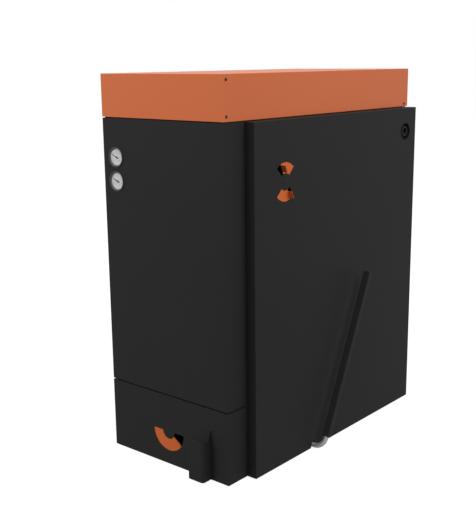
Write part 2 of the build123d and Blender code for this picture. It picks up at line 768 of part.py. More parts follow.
deck_half = half - 4
deck_front = front_y + 8
deck_rear = rear_y - 5
upstand = 21
deck_hole_gap = 6
with BuildPart() as top_deck:
    slab((-deck_half, deck_half), (deck_front, deck_rear), (panel_top, panel_top + upstand))
    slab((sheet - deck_half, deck_half - sheet), (deck_front + sheet, deck_rear - sheet),
         (panel_top + sheet, panel_top + upstand), mode=Mode.SUBTRACT)
    slab((-neck_half - neck_wall - deck_hole_gap, neck_half + neck_wall + deck_hole_gap),
         (hatch_front - neck_wall - deck_hole_gap, hatch_rear + neck_wall + 30),
         (panel_top, panel_top + sheet), mode=Mode.SUBTRACT)
    slab((-cover_plate_half - deck_hole_gap, cover_plate_half + deck_hole_gap),
         (cleaning_front - neck_wall - 2 * deck_hole_gap - 2, cleaning_rear + neck_wall + 2 * deck_hole_gap + 2),
         (panel_top, panel_top + sheet), mode=Mode.SUBTRACT)
finish(top_deck, "top_deck")

# Rubber buffers under the front edge of the cover

buffer_x = 150
buffer_radius = 3.5
buffer_inset = 4
with BuildPart() as cover_buffers:
    for x in (-buffer_x, buffer_x):
        round_bar(Plane(origin=(x, front_y + buffer_inset, panel_top)), buffer_radius, cover_gap - bar_clearance)
finish(cover_buffers, "cover_buffers")

# Fixed halves of the cover's hinges, on the rear panel

hinge_leaf = 2.5
cover_pin_y = rear_y + knuckle_radius
cover_pin_z = cover_bottom - cover_gap / 2
leaf_height = 30
knuckle_gap = 0.4
middle_knuckle = 20
leaf_gap = 4.5


def knuckle(x_start, length):
    """One barrel of a cover hinge, solid, round the pin's axis."""
    round_bar(facing_right(x_start, cover_pin_y, cover_pin_z), knuckle_radius, length)


with BuildPart() as cover_hinges_fixed:
    for x in (-cover_hinge_x, cover_hinge_x):
        slab((x - cover_hinge_width / 2, x + cover_hinge_width / 2), (rear_y - sheet, rear_y + hinge_leaf - sheet),
             (cover_pin_z - leaf_height, cover_pin_z - leaf_gap))
        slab((x - middle_knuckle / 2, x + middle_knuckle / 2), (rear_y - sheet, rear_y + hinge_leaf),
             (cover_pin_z - leaf_gap - 1, cover_pin_z))
        knuckle(x - middle_knuckle / 2, middle_knuckle)
        round_bar(facing_right(x - middle_knuckle / 2, cover_pin_y, cover_pin_z), cover_pin_radius,
                  middle_knuckle, mode=Mode.SUBTRACT)
finish(cover_hinges_fixed, "cover_hinges_fixed")

# Moving halves of the cover's hinges

with BuildPart() as cover_hinges_moving:
    for x in (-cover_hinge_x, cover_hinge_x):
        slab((x - cover_hinge_width / 2, x + cover_hinge_width / 2), (rear_y, rear_y + hinge_leaf),
             (cover_pin_z + leaf_gap, cover_pin_z + leaf_height))
        end_knuckle = (cover_hinge_width - middle_knuckle) / 2 - knuckle_gap
        for start in (x - cover_hinge_width / 2, x + middle_knuckle / 2 + knuckle_gap):
            slab((start, start + end_knuckle), (rear_y + bar_clearance, rear_y + hinge_leaf),
                 (cover_pin_z, cover_pin_z + leaf_gap + 1))
            knuckle(start, end_knuckle)
            round_bar(facing_right(start, cover_pin_y, cover_pin_z), cover_pin_radius + shaft_fit,
                      end_knuckle, mode=Mode.SUBTRACT)
finish(cover_hinges_moving, "cover_hinges_moving")

# Hinge pins of the cover, the fuel hatch and the ash door

door_pin_depth = 18
with BuildPart() as hinge_pins:
    for x in (-cover_hinge_x, cover_hinge_x):
        round_bar(facing_right(x - cover_hinge_width / 2, cover_pin_y, cover_pin_z), cover_pin_radius,
                  cover_hinge_width)
    hatch_pin_length = 2 * lug_width + 6
    for x in (-lug_x, lug_x):
        inner = x - hatch_pin_length / 2 - math.copysign(lug_width / 2, x)
        round_bar(facing_right(inner, hatch_pin_y, hatch_pin_z), hatch_pin_radius, hatch_pin_length)
    round_bar(Plane(origin=(hinge_x, hinge_y, 0)), hinge_pin_radius, floor_gap + door_pin_depth)
    round_bar(Plane(origin=(hinge_x, hinge_y, door_top - door_pin_depth)), hinge_pin_radius,
              upper_bottom - door_top + door_pin_depth)
finish(hinge_pins, "hinge_pins")

# Top cover: a folded sheet box, open underneath, with screwed corner flanges

corner_flange = 20
screw_radius = 2.2
with BuildPart() as top_cover:
    slab((-half, half), (front_y, rear_y), (cover_bottom, height))
    fillet(top_cover.edges().group_by(Axis.Z)[-1], radius=sheet)
    slab((sheet - half, half - sheet), (front_y + sheet, rear_y - sheet), (cover_bottom, height - sheet),
         mode=Mode.SUBTRACT)
    for x in (sheet - half, half - 2 * sheet):
        for y in (front_y + sheet, rear_y - sheet - corner_flange):
            slab((x, x + sheet), (y, y + corner_flange), (cover_bottom + sheet, height - 3 * sheet))
finish(top_cover, "top_cover")

# Screws of the cover's corners: two at the front and one at the rear of each side, three on the rear face

head_across = 7
head_height = 1.6
side_screws = [(front_y + 10, height - 15), (front_y + 10, cover_bottom + 14), (rear_y - 22, cover_bottom + 9)]
rear_screw_heights = (height - 15, height - 57, height - 98)
with BuildPart() as cover_screws:
    for y, z in side_screws:
        hex_head(facing_right(half, y, z), head_across, head_height)
    mirror(about=Plane.YZ)
    for x in (-half + 10, half - 10):
        for z in rear_screw_heights:
            hex_head(facing_back(x, rear_y, z), head_across, head_height)
finish(cover_screws, "cover_screws")

# Insulation under the top of the cover

cover_wool = 25
with BuildPart() as cover_insulation:
    slab((-half + 4, half - 4), (front_y + 4, rear_y - 4), (height - sheet - cover_wool, height - sheet))
    for sx in (-1, 1):
        for sy in (-1, 1):
            slab(sorted((sx * (half - 4), sx * (half - 4 - corner_flange))),
                 sorted((sy * (rear_y - 4), sy * (rear_y - 4 - corner_flange))),
                 (height - sheet - cover_wool, height - sheet), mode=Mode.SUBTRACT)
finish(cover_insulation, "cover_insulation")

# Fuel hatch: a steel plate with hinge eyes, a rope seal, an insulating plug and a handle

hatch_overlap = 4
eye_width = 12
with BuildPart() as fuel_hatch_door:
    slab((-neck_half - neck_wall - hatch_overlap, neck_half + neck_wall + hatch_overlap),
         (hatch_front - neck_wall - hatch_overlap, hatch_rear + neck_wall + 2), (hatch_seat, hatch_seat + lid_plate))
    fillet(fuel_hatch_door.edges().filter_by(Axis.Z), radius=8)
    for x in (lug_x - lug_width / 2 - lug_gap - eye_width, -lug_x + lug_width / 2 + lug_gap):
        with BuildSketch(facing_right(x, hatch_pin_y, hatch_pin_z)) as eye:
            Circle(lug_radius)
            with Locations((-lug_radius - 6, 0)):
                Rectangle(2 * lug_radius + 12, lid_plate)
        extrude(eye.sketch, amount=eye_width)
        round_bar(facing_right(x, hatch_pin_y, hatch_pin_z), hatch_pin_radius + shaft_fit, eye_width,
                  mode=Mode.SUBTRACT)
finish(fuel_hatch_door, "fuel_hatch_door")

with BuildPart() as fuel_hatch_seal:
    slab((-neck_half - neck_wall, neck_half + neck_wall), (hatch_front - neck_wall, hatch_rear + neck_wall),
         (hatch_neck_top + bar_clearance, hatch_seat))
    slab((-neck_half, neck_half), (hatch_front, hatch_rear), (hatch_neck_top, hatch_seat), mode=Mode.SUBTRACT)
finish(fuel_hatch_seal, "fuel_hatch_seal")

plug_depth = 30
plug_gap = 10
with BuildPart() as fuel_hatch_plug:
    slab((-neck_half + plug_gap, neck_half - plug_gap), (hatch_front + plug_gap, hatch_rear - plug_gap),
         (hatch_seat - plug_depth, hatch_seat))
    chamfer(fuel_hatch_plug.edges().group_by(Axis.Z)[0], length=5)
finish(fuel_hatch_plug, "fuel_hatch_plug")

grip_half = 61
grip_height = 34
grip_thickness = 6
grip_width = 14
grip_corner = 14
grip_y = hatch_front + 30
with BuildPart() as fuel_hatch_handle:
    with BuildSketch(facing_front(0, grip_y + grip_width / 2, hatch_seat + lid_plate)):
        with BuildLine():
            FilletPolyline((-grip_half, 0), (-grip_half, grip_height), (grip_half, grip_height), (grip_half, 0),
                           radius=grip_corner)
            FilletPolyline((grip_thickness - grip_half, 0), (grip_thickness - grip_half, grip_height - grip_thickness),
                           (grip_half - grip_thickness, grip_height - grip_thickness), (grip_half - grip_thickness, 0),
                           radius=grip_corner - grip_thickness)
            Line((-grip_half, 0), (grip_thickness - grip_half, 0))
            Line((grip_half, 0), (grip_half - grip_thickness, 0))
        make_face()
    extrude(amount=grip_width)
finish(fuel_hatch_handle, "fuel_hatch_handle")

# Ash door: a folded skin with the air slot and the blocks that its hinge pins turn in

block_height = 18
block_right = hinge_x + 12
block_rear = hinge_y + 14
with BuildPart() as door_skin:
    slab((-half, half), (front_y, flange_y), (floor_gap, door_top))
    slab((sheet - half, half - sheet), (front_y + sheet, flange_y), (floor_gap + sheet, door_top - sheet),
         mode=Mode.SUBTRACT)
    fillet(door_skin.edges().filter_by(Axis.Z).group_by(Axis.Y)[0], radius=sheet)
    for low in (floor_gap + sheet, door_top - sheet - block_height):
        slab((sheet - half, block_right), (hinge_y - 14, block_rear), (low, low + block_height))
    round_bar(Plane(origin=(hinge_x, hinge_y, floor_gap)), hinge_pin_radius + shaft_fit, door_height,
              mode=Mode.SUBTRACT)
    ring_sector(facing_front(0, front_y + sheet, front_slot_height), (slot_inner, slot_outer), 180, 180, sheet,
                mode=Mode.SUBTRACT)
    pivot_radius = 4
    pivot_length = 8
    round_bar(facing_back(0, front_y + sheet, front_slot_height), pivot_radius, pivot_length)
finish(door_skin, "door_skin")

# Inner plate of the ash door, with the round air duct and the tongue of the catch

door_duct_radius = 78
door_duct_wall = 2
duct_front = front_y + 2 * sheet + 2 * disc_gap + lip_reach
with BuildPart() as door_inner_plate:
    slab((block_right + wool_gap, half - 2 * sheet), (flange_y - inner_plate, flange_y),
         (floor_gap + 2 * sheet, door_top - 2 * sheet))
    round_bar(facing_back(0, duct_front, front_slot_height), door_duct_radius, flange_y - duct_front)
    round_bar(facing_back(0, duct_front, front_slot_height), door_duct_radius - door_duct_wall,
              flange_y - duct_front, mode=Mode.SUBTRACT)
    slab((tongue_x, tongue_x + tongue_width), (flange_y, flange_y + tongue_reach),
         (tongue_height, tongue_height + tongue_thickness))
finish(door_inner_plate, "door_inner_plate")

with BuildPart() as door_insulation:
    slab((block_right + wool_gap, half - 2 * sheet), (duct_front, flange_y - inner_plate),
         (floor_gap + 2 * sheet, door_top - 2 * sheet))
    round_bar(facing_back(0, duct_front, front_slot_height), door_duct_radius, front_depth, mode=Mode.SUBTRACT)
finish(door_insulation, "door_insulation")

# Rope seal of the ash door, round the fire opening

seal_width = 10
seal_margin = 8
seal_gap = 0.3
seal_bottom = floor_gap + 2 * sheet + 1
with BuildPart() as door_seal:
    seal_half = opening_half + seal_margin + seal_width
    seal_top = door_top - 2 * sheet - 1
    slab((-seal_half, seal_half), (flange_y, shell_front - seal_gap), (seal_bottom, seal_top))
    slab((seal_width - seal_half, seal_half - seal_width), (flange_y, shell_front - seal_gap),
         (seal_bottom + seal_width, seal_top - seal_width), mode=Mode.SUBTRACT)
finish(door_seal, "door_seal")

# Handle of the ash door: an upright pocket of folded sheet with rounded front corners, open above and below,
# whose sides sweep up the door's face as two ears

handle_corner = 12
handle_blend = 6
ear_foot_reach = 16
ear_top_reach = 4
ear_slope = (ear_foot_reach - ear_top_reach) / (handle_top - handle_rim)
mouth_margin = 20


def handle_prism(inset, low, high, mode=Mode.ADD):
    """An upright block on the door's face, smaller by the inset, with rounded front corners."""
    with BuildSketch(Plane(origin=((handle_left + handle_right) / 2, front_y, low))) as outline:
        with Locations((0, (inset - handle_reach) / 2)):
            Rectangle(handle_right - handle_left - 2 * inset, handle_reach - inset)
        fillet(outline.vertices().group_by(Axis.Y)[0], radius=handle_corner - inset)
    extrude(outline.sketch, amount=high - low, mode=mode)


with BuildPart() as door_handle:
    handle_prism(0, handle_bottom, handle_top)
    handle_prism(handle_sheet, handle_bottom - 1, handle_top + 1, mode=Mode.SUBTRACT)
    mouth_front = -handle_reach - mouth_margin
    mouth_top = handle_top + mouth_margin
    with BuildSketch(facing_right(handle_left - 1, front_y, 0)) as mouth:
        with BuildLine():
            FilletPolyline((mouth_front, handle_rim), (-ear_foot_reach, handle_rim),
                           (mouth_margin * ear_slope - ear_top_reach, mouth_top), (mouth_front, mouth_top),
                           radius=handle_blend, close=True)
        make_face()
    extrude(mouth.sketch, amount=handle_right - handle_left + 2, mode=Mode.SUBTRACT)
finish(door_handle, "door_handle")

# Catch of the ash door: a spring clip on the pit, above and below the door's tongue

clip_sheet = 1.5
clip_left = shell_half
with BuildPart() as door_catch:
    clip_rear = flange_y + tongue_reach + 6
    with BuildSketch(facing_right(clip_left, shell_front, tongue_height + tongue_thickness / 2)) as clip:
        leaf_z = tongue_thickness / 2 + seal_gap
        back = clip_rear - shell_front
        with BuildLine():
            Polyline((2, leaf_z + clip_sheet), (back + clip_sheet, leaf_z + clip_sheet),
                     (back + clip_sheet, -leaf_z - clip_sheet), (2, -leaf_z - clip_sheet), (2, -leaf_z),
                     (back, -leaf_z), (back, leaf_z), (2, leaf_z), close=True)
        make_face()
    extrude(clip.sketch, amount=tongue_x + tongue_width - clip_left + 2)
finish(door_catch, "door_catch")

# Rotary air plate of the ash door: a half disc behind the slot, turned by the lip on its edge

blade_overlap = 2
with BuildPart() as front_air_disc:
    blade_front = front_y + sheet + disc_gap
    blade_end = 360 - front_disc_open
    ring_sector(facing_front(0, blade_front + disc_sheet, front_slot_height), (slot_inner - 8, slot_outer + 7),
                blade_end - 180 - blade_overlap, 180 + blade_overlap, disc_sheet)
    round_bar(facing_back(0, blade_front, front_slot_height), slot_inner - 6, disc_sheet)
    lip_turn = math.radians(blade_end)
    lip_plane = Plane(origin=(0, blade_front, front_slot_height),
                      x_dir=(math.cos(lip_turn), 0, math.sin(lip_turn)), z_dir=(0, -1, 0))
    with BuildSketch(lip_plane) as lip:
        with Locations(((slot_inner + slot_outer) / 2, -disc_sheet / 2)):
            Rectangle(slot_outer - slot_inner - 8, disc_sheet)
    extrude(lip.sketch, amount=sheet + disc_gap + lip_reach)
    round_bar(facing_back(0, blade_front, front_slot_height), pivot_radius + shaft_fit, disc_sheet,
              mode=Mode.SUBTRACT)
finish(front_air_disc, "front_air_disc")

# Rotary air plate of the side inlet: two blades behind the slots, each with a finger tab bent outwards

with BuildPart() as side_air_disc:
    disc_left = panel_face - sheet - disc_gap - disc_sheet
    centre = facing_right(disc_left, side_inlet_y, side_inlet_height)
    for turn in (0, 180):
        edge = 135 - side_disc_open + turn
        ring_sector(centre, (side_slot_inner - 8, side_slot_outer + 4), edge - 90 - blade_overlap,
                    90 + blade_overlap, disc_sheet)
        tab_turn = math.radians(edge)
        tab_plane = Plane(origin=(disc_left, side_inlet_y, side_inlet_height),
                          x_dir=(0, math.cos(tab_turn), math.sin(tab_turn)), z_dir=(1, 0, 0))
        with BuildSketch(tab_plane) as tab:
            with Locations(((side_slot_inner + side_slot_outer) / 2 + 1, -disc_sheet / 2)):
                Rectangle(side_slot_outer - side_slot_inner - 10, disc_sheet)
        extrude(tab.sketch, amount=disc_sheet + disc_gap + sheet + tab_reach)
    round_bar(centre, side_slot_inner - 6, disc_sheet)
    side_pivot_radius = 2
    round_bar(centre, side_pivot_radius + shaft_fit, disc_sheet, mode=Mode.SUBTRACT)
finish(side_air_disc, "side_air_disc")

# Fixed screws: the pivot screw of the side air plate and the screws of the rear panel

rear_screw_margin = 60
rear_screw_pitch = (panel_top - floor_gap - 2 * rear_screw_margin) / 3
rear_screw_places = [(side * (half + rear_overlap / 2), floor_gap + rear_screw_margin + i * rear_screw_pitch)
                     for side in (-1, 1) for i in range(4)]
with BuildPart() as casing_screws:
    round_bar(facing_right(panel_face, side_inlet_y, side_inlet_height), 3.5, 1.6)
    round_bar(facing_right(disc_left - 4, side_inlet_y, side_inlet_height), side_pivot_radius,
              panel_face - disc_left + 4)
    round_bar(facing_right(disc_left - 3.3, side_inlet_y, side_inlet_height), 4, 3)
    for x, z in rear_screw_places:
        hex_head(facing_back(x, rear_y, z), head_across, head_height)
finish(casing_screws, "casing_screws")

# Gauges: two round cases with a recessed dial and a stem into the water jacket

case_depth = 32
bezel_height = 4
stem_reach = 12
glass_thickness = 1
dial_thickness = 1
rim_width = 1.5
dial_y = front_y + gauge_recess
dial_radius = case_radius - rim_width
with BuildPart() as gauge_cases:
    for z in (thermometer_height, pressure_height):
        round_bar(facing_back(gauge_x, front_y, z), case_radius, case_depth)
        round_bar(facing_front(gauge_x, front_y, z), gauge_radius, bezel_height)
        round_bar(facing_back(gauge_x, front_y - bezel_height, z), dial_radius,
                  bezel_height + case_depth - rim_width, mode=Mode.SUBTRACT)
        round_bar(facing_back(gauge_x, front_y + case_depth, z), stem_radius,
                  shell_front + plate + stem_reach - front_y - case_depth)
finish(gauge_cases, "gauge_cases")

needle_hub = 3
needle_thickness = 0.8
spindle_radius = 0.8
with BuildPart() as gauge_dials:
    for z in (thermometer_height, pressure_height):
        round_bar(facing_back(gauge_x, dial_y, z), dial_radius, dial_thickness)
        round_bar(facing_front(gauge_x, dial_y, z), spindle_radius, needle_thickness + 2 * disc_gap)
finish(gauge_dials, "gauge_dials")

glass_y = dial_y - 3
with BuildPart() as gauge_glasses:
    for z in (thermometer_height, pressure_height):
        round_bar(facing_front(gauge_x, glass_y, z), dial_radius, glass_thickness)
finish(gauge_glasses, "gauge_glasses")


def needle(z):
    """A tapered pointer with a broad tail, on the spindle of one dial."""
    turn = math.radians(needle_angle)
    plane = Plane(origin=(gauge_x, dial_y - disc_gap, z), x_dir=(math.cos(turn), 0, math.sin(turn)),
                  z_dir=(0, -1, 0))
    with BuildSketch(plane) as outline:
        with BuildLine():
            Polyline((-9, -1.9), (0, -1.5), (dial_radius - 4, -0.4), (dial_radius - 4, 0.4), (0, 1.5), (-9, 1.9),
                     close=True)
        make_face()
        Circle(needle_hub)
        Circle(spindle_radius + shaft_fit, mode=Mode.SUBTRACT)
    extrude(outline.sketch, amount=needle_thickness)


with BuildPart() as thermometer_needle:
    needle(thermometer_height)
finish(thermometer_needle, "thermometer_needle")

with BuildPart() as pressure_needle:
    needle(pressure_height)
finish(pressure_needle, "pressure_needle")

# Ash pan with its pull

with BuildPart() as ash_pan:
    slab((-pan_half, pan_half), (pan_front, pan_rear), (pan_bottom, pan_bottom + pan_height))
    fillet(ash_pan.edges().filter_by(Axis.Z), radius=12)
    offset(amount=-pan_sheet, openings=ash_pan.faces().sort_by(Axis.Z)[-1])
    pull_height = pan_bottom + pan_height / 2
    pull_half = 50
    slab((-pull_half, pull_half), (pan_front - 10, pan_front), (pull_height - 6, pull_height + 6))
    slab((8 - pull_half, pull_half - 8), (pan_front - 6, pan_front), (pull_height - 6, pull_height + 6),
         mode=Mode.SUBTRACT)
finish(ash_pan, "ash_pan")

# Lever shaft: a round rod across the boiler, bent up at its right end. Its welded arm has a round tip
# that works in the fork of the moving grate.

collar_gap = 0.5
collar_width = 10
collar_outer = 12
bearing_end = shell_half + bearing_thickness
shaft_left = -bearing_end - collar_width - 4
arm_hub_radius = 17
arm_hub_cut = 6
arm_width = 12
tip_centre = (arm_radius * math.sin(math.radians(arm_tilt)), arm_radius * math.cos(math.radians(arm_tilt)))
arm_plane = facing_right(arm_x - arm_thickness / 2, shaft_y, shaft_height)
with BuildPart() as grate_shaft:
    corner = Vector(lever_offset, shaft_y, shaft_height)
    end = corner + Vector(*lever_direction) * lever_start
    with BuildLine() as shaft_path:
        FilletPolyline((shaft_left, shaft_y, shaft_height), corner, end, radius=elbow_radius)
    with BuildSketch(Plane(origin=shaft_path.line @ 0, z_dir=shaft_path.line % 0)):
        Circle(shaft_radius)
    sweep()
    for x in (bearing_end + collar_gap, -bearing_end - collar_gap - collar_width):
        round_bar(facing_right(x, shaft_y, shaft_height), collar_outer, collar_width)
    with BuildSketch(arm_plane) as arm:
        Circle(arm_hub_radius)
        with Locations((tip_centre[0] / 2, tip_centre[1] / 2)):
            Rectangle(arm_width, arm_radius, rotation=-arm_tilt)
        with Locations(tip_centre):
            Circle(arm_tip_radius)
        with Locations(Location((0, 0, 0), (0, 0, -arm_tilt))):
            with Locations((0, -arm_hub_cut - arm_hub_radius)):
                Rectangle(3 * arm_hub_radius, 2 * arm_hub_radius, mode=Mode.SUBTRACT)
        Circle(shaft_radius)
    extrude(arm.sketch, amount=arm_thickness)
finish(grate_shaft, "grate_shaft")

# Lever bar: a flat bar welded on the end of the bent rod

lever_plane = Plane(origin=(lever_offset, shaft_y, shaft_height), x_dir=(1, 0, 0), z_dir=lever_direction)
with BuildPart() as lever_bar:
    with BuildSketch(lever_plane.offset(lever_start)) as bar_outline:
        RectangleRounded(lever_width, lever_depth, radius=2)
    extrude(bar_outline.sketch, amount=lever_length - lever_start)
finish(lever_bar, "lever_bar")
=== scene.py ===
import math

import bmesh
import bpy
from mathutils import Matrix, Vector


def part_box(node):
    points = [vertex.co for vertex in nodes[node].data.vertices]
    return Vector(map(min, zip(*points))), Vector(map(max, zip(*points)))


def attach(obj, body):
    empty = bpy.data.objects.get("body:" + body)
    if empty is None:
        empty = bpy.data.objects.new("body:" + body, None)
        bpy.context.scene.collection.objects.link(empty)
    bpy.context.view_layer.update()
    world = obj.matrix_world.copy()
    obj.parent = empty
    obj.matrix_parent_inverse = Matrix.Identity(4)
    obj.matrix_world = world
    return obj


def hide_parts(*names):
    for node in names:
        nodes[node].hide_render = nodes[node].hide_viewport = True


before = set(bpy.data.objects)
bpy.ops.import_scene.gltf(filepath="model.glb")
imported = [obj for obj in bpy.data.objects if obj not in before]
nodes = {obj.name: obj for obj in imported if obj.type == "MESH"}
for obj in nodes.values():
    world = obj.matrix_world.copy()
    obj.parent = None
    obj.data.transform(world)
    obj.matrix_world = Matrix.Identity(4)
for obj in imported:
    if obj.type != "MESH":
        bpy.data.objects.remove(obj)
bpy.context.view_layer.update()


# Camera: a long lens a little above the boiler's top, turned to see its front and right side. The
# angles and the place are those at which the casing's edges fall where the photograph has them.
def put_in_scene(name, data):
    """A new object in the scene, that holds a camera, a lamp or a mesh."""
    thing = bpy.data.objects.new(name, data)
    bpy.context.scene.collection.objects.link(thing)
    return thing


view_azimuth = math.radians(40.246)
view_down = math.radians(13.0329)
view_roll = math.radians(-0.5962)
view_place = Vector((1.84268, -2.32511, 1.2379))
view_lens = 60.495
view_reach = 60
back = Vector((math.sin(view_azimuth) * math.cos(view_down),
               -math.cos(view_azimuth) * math.cos(view_down), math.sin(view_down)))
level_right = (-back).cross(Vector((0, 0, 1))).normalized()
level_up = level_right.cross(-back)
right = math.cos(view_roll) * level_right + math.sin(view_roll) * level_up
up = math.cos(view_roll) * level_up - math.sin(view_roll) * level_right
lens = bpy.data.cameras.new("camera")
lens.lens = view_lens
lens.clip_end = view_reach
camera = put_in_scene("camera", lens)
camera_turn = Matrix((right, up, back)).transposed().to_4x4()
camera.matrix_world = Matrix.Translation(view_place) @ camera_turn
bpy.context.scene.camera = camera
bpy.context.scene.view_settings.view_transform = "Standard"


# Studio: a pale painted floor that runs out of sight under a white sky, with a softbox on the right
# and one in front. Matt emulsion gives no reflection, only the soft shadow under the boiler.
def linear(colour):
    """The linear colour of an sRGB hex value such as 'C8A070'."""
    channels = [int(colour[i:i + 2], 16) / 255 for i in (0, 2, 4)]
    return [c / 12.92 if c <= 0.04045 else ((c + 0.055) / 1.055) ** 2.4 for c in channels] + [1.0]


def add(material, kind, inputs=None, **settings):
    """Adds one node with its settings. Each input is a value, or a (node, output) pair to link."""
    tree = material.node_tree
    node = tree.nodes.new(kind)
    for name, value in settings.items():
        setattr(node, name, value)
    for name, value in (inputs or {}).items():
        if isinstance(value, tuple) and hasattr(value[0], "outputs"):
            tree.links.new(value[0].outputs[value[1]], node.inputs[name])
        else:
            node.inputs[name].default_value = value
    return node


def empty_material(name):
    """A material with no nodes yet."""
    material = bpy.data.materials.new(name)
    material.use_nodes = True
    material.node_tree.nodes.clear()
    return material


def seen_directly(shader):
    """One where a ray comes from the camera, or from a shiny or clear surface."""
    rays = add(shader, "ShaderNodeLightPath")
    mirrored = add(shader, "ShaderNodeMath", {
        0: (rays, "Is Glossy Ray"), 1: (rays, "Is Transmission Ray")}, operation="MAXIMUM")
    return add(shader, "ShaderNodeMath", {
        0: (mirrored, 0), 1: (rays, "Is Camera Ray")}, operation="MAXIMUM")


# Emulsion paint, rolled: light that bounces off it onto the boiler meets a mid grey, and to the eye
# it is near white, so that it still darkens where the boiler keeps the light off.
emulsion = empty_material("floor_emulsion")
bounce_paint = add(emulsion, "ShaderNodeBsdfDiffuse", {"Color": linear("565656"), "Roughness": 1.0})
shaded_paint = add(emulsion, "ShaderNodeBsdfDiffuse", {"Color": linear("868686"), "Roughness": 1.0})
white_paint = add(emulsion, "ShaderNodeEmission", {"Color": linear("FFFFFF"), "Strength": 0.89})
pale_paint = add(emulsion, "ShaderNodeAddShader", {0: (shaded_paint, 0), 1: (white_paint, 0)})
paint = add(emulsion, "ShaderNodeMixShader", {
    0: (seen_directly(emulsion), 0), 1: (bounce_paint, 0), 2: (pale_paint, 0)})
add(emulsion, "ShaderNodeOutputMaterial", {"Surface": (paint, 0)})
floor_span = 14
floor_mesh = bpy.data.meshes.new("studio_floor")
floor_mesh.from_pydata(
    [(x * floor_span, y * floor_span, 0) for x, y in ((-1, -1), (1, -1), (1, 1), (-1, 1))], [],
    [(0, 1, 2, 3)])
floor_mesh.materials.append(emulsion)
put_in_scene("studio_floor", floor_mesh)

sky = bpy.data.worlds.new("studio_sky")
sky.use_nodes = True
sky.node_tree.nodes.clear()
bpy.context.scene.world = sky
sky_light = add(sky, "ShaderNodeBackground", {"Color": linear("FFFFFF"), "Strength": 0.55})
sky_white = add(sky, "ShaderNodeBackground", {"Color": linear("FFFFFF"), "Strength": 1.0})
sky_both = add(sky, "ShaderNodeMixShader", {
    0: (seen_directly(sky), 0), 1: (sky_light, 0), 2: (sky_white, 0)})
add(sky, "ShaderNodeOutputWorld", {"Surface": (sky_both, 0)})


def softbox(name, place, power):
    """A large square lamp aimed at the middle of the boiler."""
    side = 2.4
    boiler_middle = Vector((0, 0, 0.6))
    lamp = bpy.data.lights.new(name, "AREA")
    lamp.shape = "SQUARE"
    lamp.size = side
    lamp.energy = power
    stand = put_in_scene(name, lamp)
    stand.location = place
    stand.rotation_euler = (boiler_middle - Vector(place)).to_track_quat("-Z", "Y").to_euler()


softbox("softbox_right", (2.9, -0.1, 3.2), 84)
softbox("softbox_front", (-1.0, -3.3, 3.0), 92)


# Vessel: welded from 5 and 8 mm hot-rolled plate, with threaded sockets and the flue spigot at the
# rear. Mill scale gives the plate a patchy blue-grey, dull surface, browner where the weld heat has
# loosened it.
def dress(material, *names):
    """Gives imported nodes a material."""
    for name in names:
        nodes[name].material_slots[0].material = material


mill_patch = 0.08
mill_pit = 0.002
mill = empty_material("mill_scale_steel")
mill_place = add(mill, "ShaderNodeTexCoord")
mill_cloud = add(mill, "ShaderNodeTexNoise", {
    "Vector": (mill_place, "Object"), "Scale": 1 / mill_patch, "Detail": 8.0, "Roughness": 0.65})
mill_grain = add(mill, "ShaderNodeTexNoise", {
    "Vector": (mill_place, "Object"), "Scale": 1 / mill_pit, "Detail": 3.0})
mill_tone = add(mill, "ShaderNodeMix", {
    0: (mill_cloud, "Fac"), "A": linear("26282B"), "B": linear("4A4643")}, data_type="RGBA")
mill_gloss = add(mill, "ShaderNodeMapRange", {
    "Value": (mill_cloud, "Fac"), "To Min": 0.45, "To Max": 0.75})
mill_relief = add(mill, "ShaderNodeBump", {
    "Height": (mill_grain, "Fac"), "Strength": 0.3, "Distance": 0.0003})
mill_surface = add(mill, "ShaderNodeBsdfPrincipled", {
    "Base Color": (mill_tone, "Result"), "Metallic": 0.6, "Roughness": (mill_gloss, "Result"),
    "Normal": (mill_relief, "Normal")})
add(mill, "ShaderNodeOutputMaterial", {"Surface": (mill_surface, "BSDF")})
dress(mill, "outer_shell", "firebox", "water_walls", "bottom_plate", "top_plate", "ash_pit",
      "fuel_hatch_frame", "cleaning_frame", "cleaning_cover", "flue_spigot", "main_sockets",
      "drain_socket", "side_air_duct", "pan_runners", "fuel_hatch_door", "door_inner_plate",
      "ash_pan")

# Grate and fire guard: grey cast iron from a sand mould, left as cast. The skin is dark and rough,
# with the grain of the sand in it, drawn coarse enough to show.
sand_grain = 0.0025
casting_cloud = 0.05
iron = empty_material("sand_cast_iron")
iron_place = add(iron, "ShaderNodeTexCoord")
iron_sand = add(iron, "ShaderNodeTexNoise", {
    "Vector": (iron_place, "Object"), "Scale": 1 / sand_grain, "Detail": 6.0, "Roughness": 0.7})
iron_cloud = add(iron, "ShaderNodeTexNoise", {
    "Vector": (iron_place, "Object"), "Scale": 1 / casting_cloud, "Detail": 4.0})
iron_tone = add(iron, "ShaderNodeMix", {
    0: (iron_cloud, "Fac"), "A": linear("2B2724"), "B": linear("403A35")}, data_type="RGBA")
iron_gloss = add(iron, "ShaderNodeMapRange", {
    "Value": (iron_sand, "Fac"), "To Min": 0.68, "To Max": 0.88})
iron_relief = add(iron, "ShaderNodeBump", {
    "Height": (iron_sand, "Fac"), "Strength": 0.6, "Distance": 0.0006})
iron_surface = add(iron, "ShaderNodeBsdfPrincipled", {
    "Base Color": (iron_tone, "Result"), "Metallic": 0.5, "Roughness": (iron_gloss, "Result"),
    "Normal": (iron_relief, "Normal")})
add(iron, "ShaderNodeOutputMaterial", {"Surface": (iron_surface, "BSDF")})
dress(iron, "grate_frame", "grate_rake", "fire_guard")

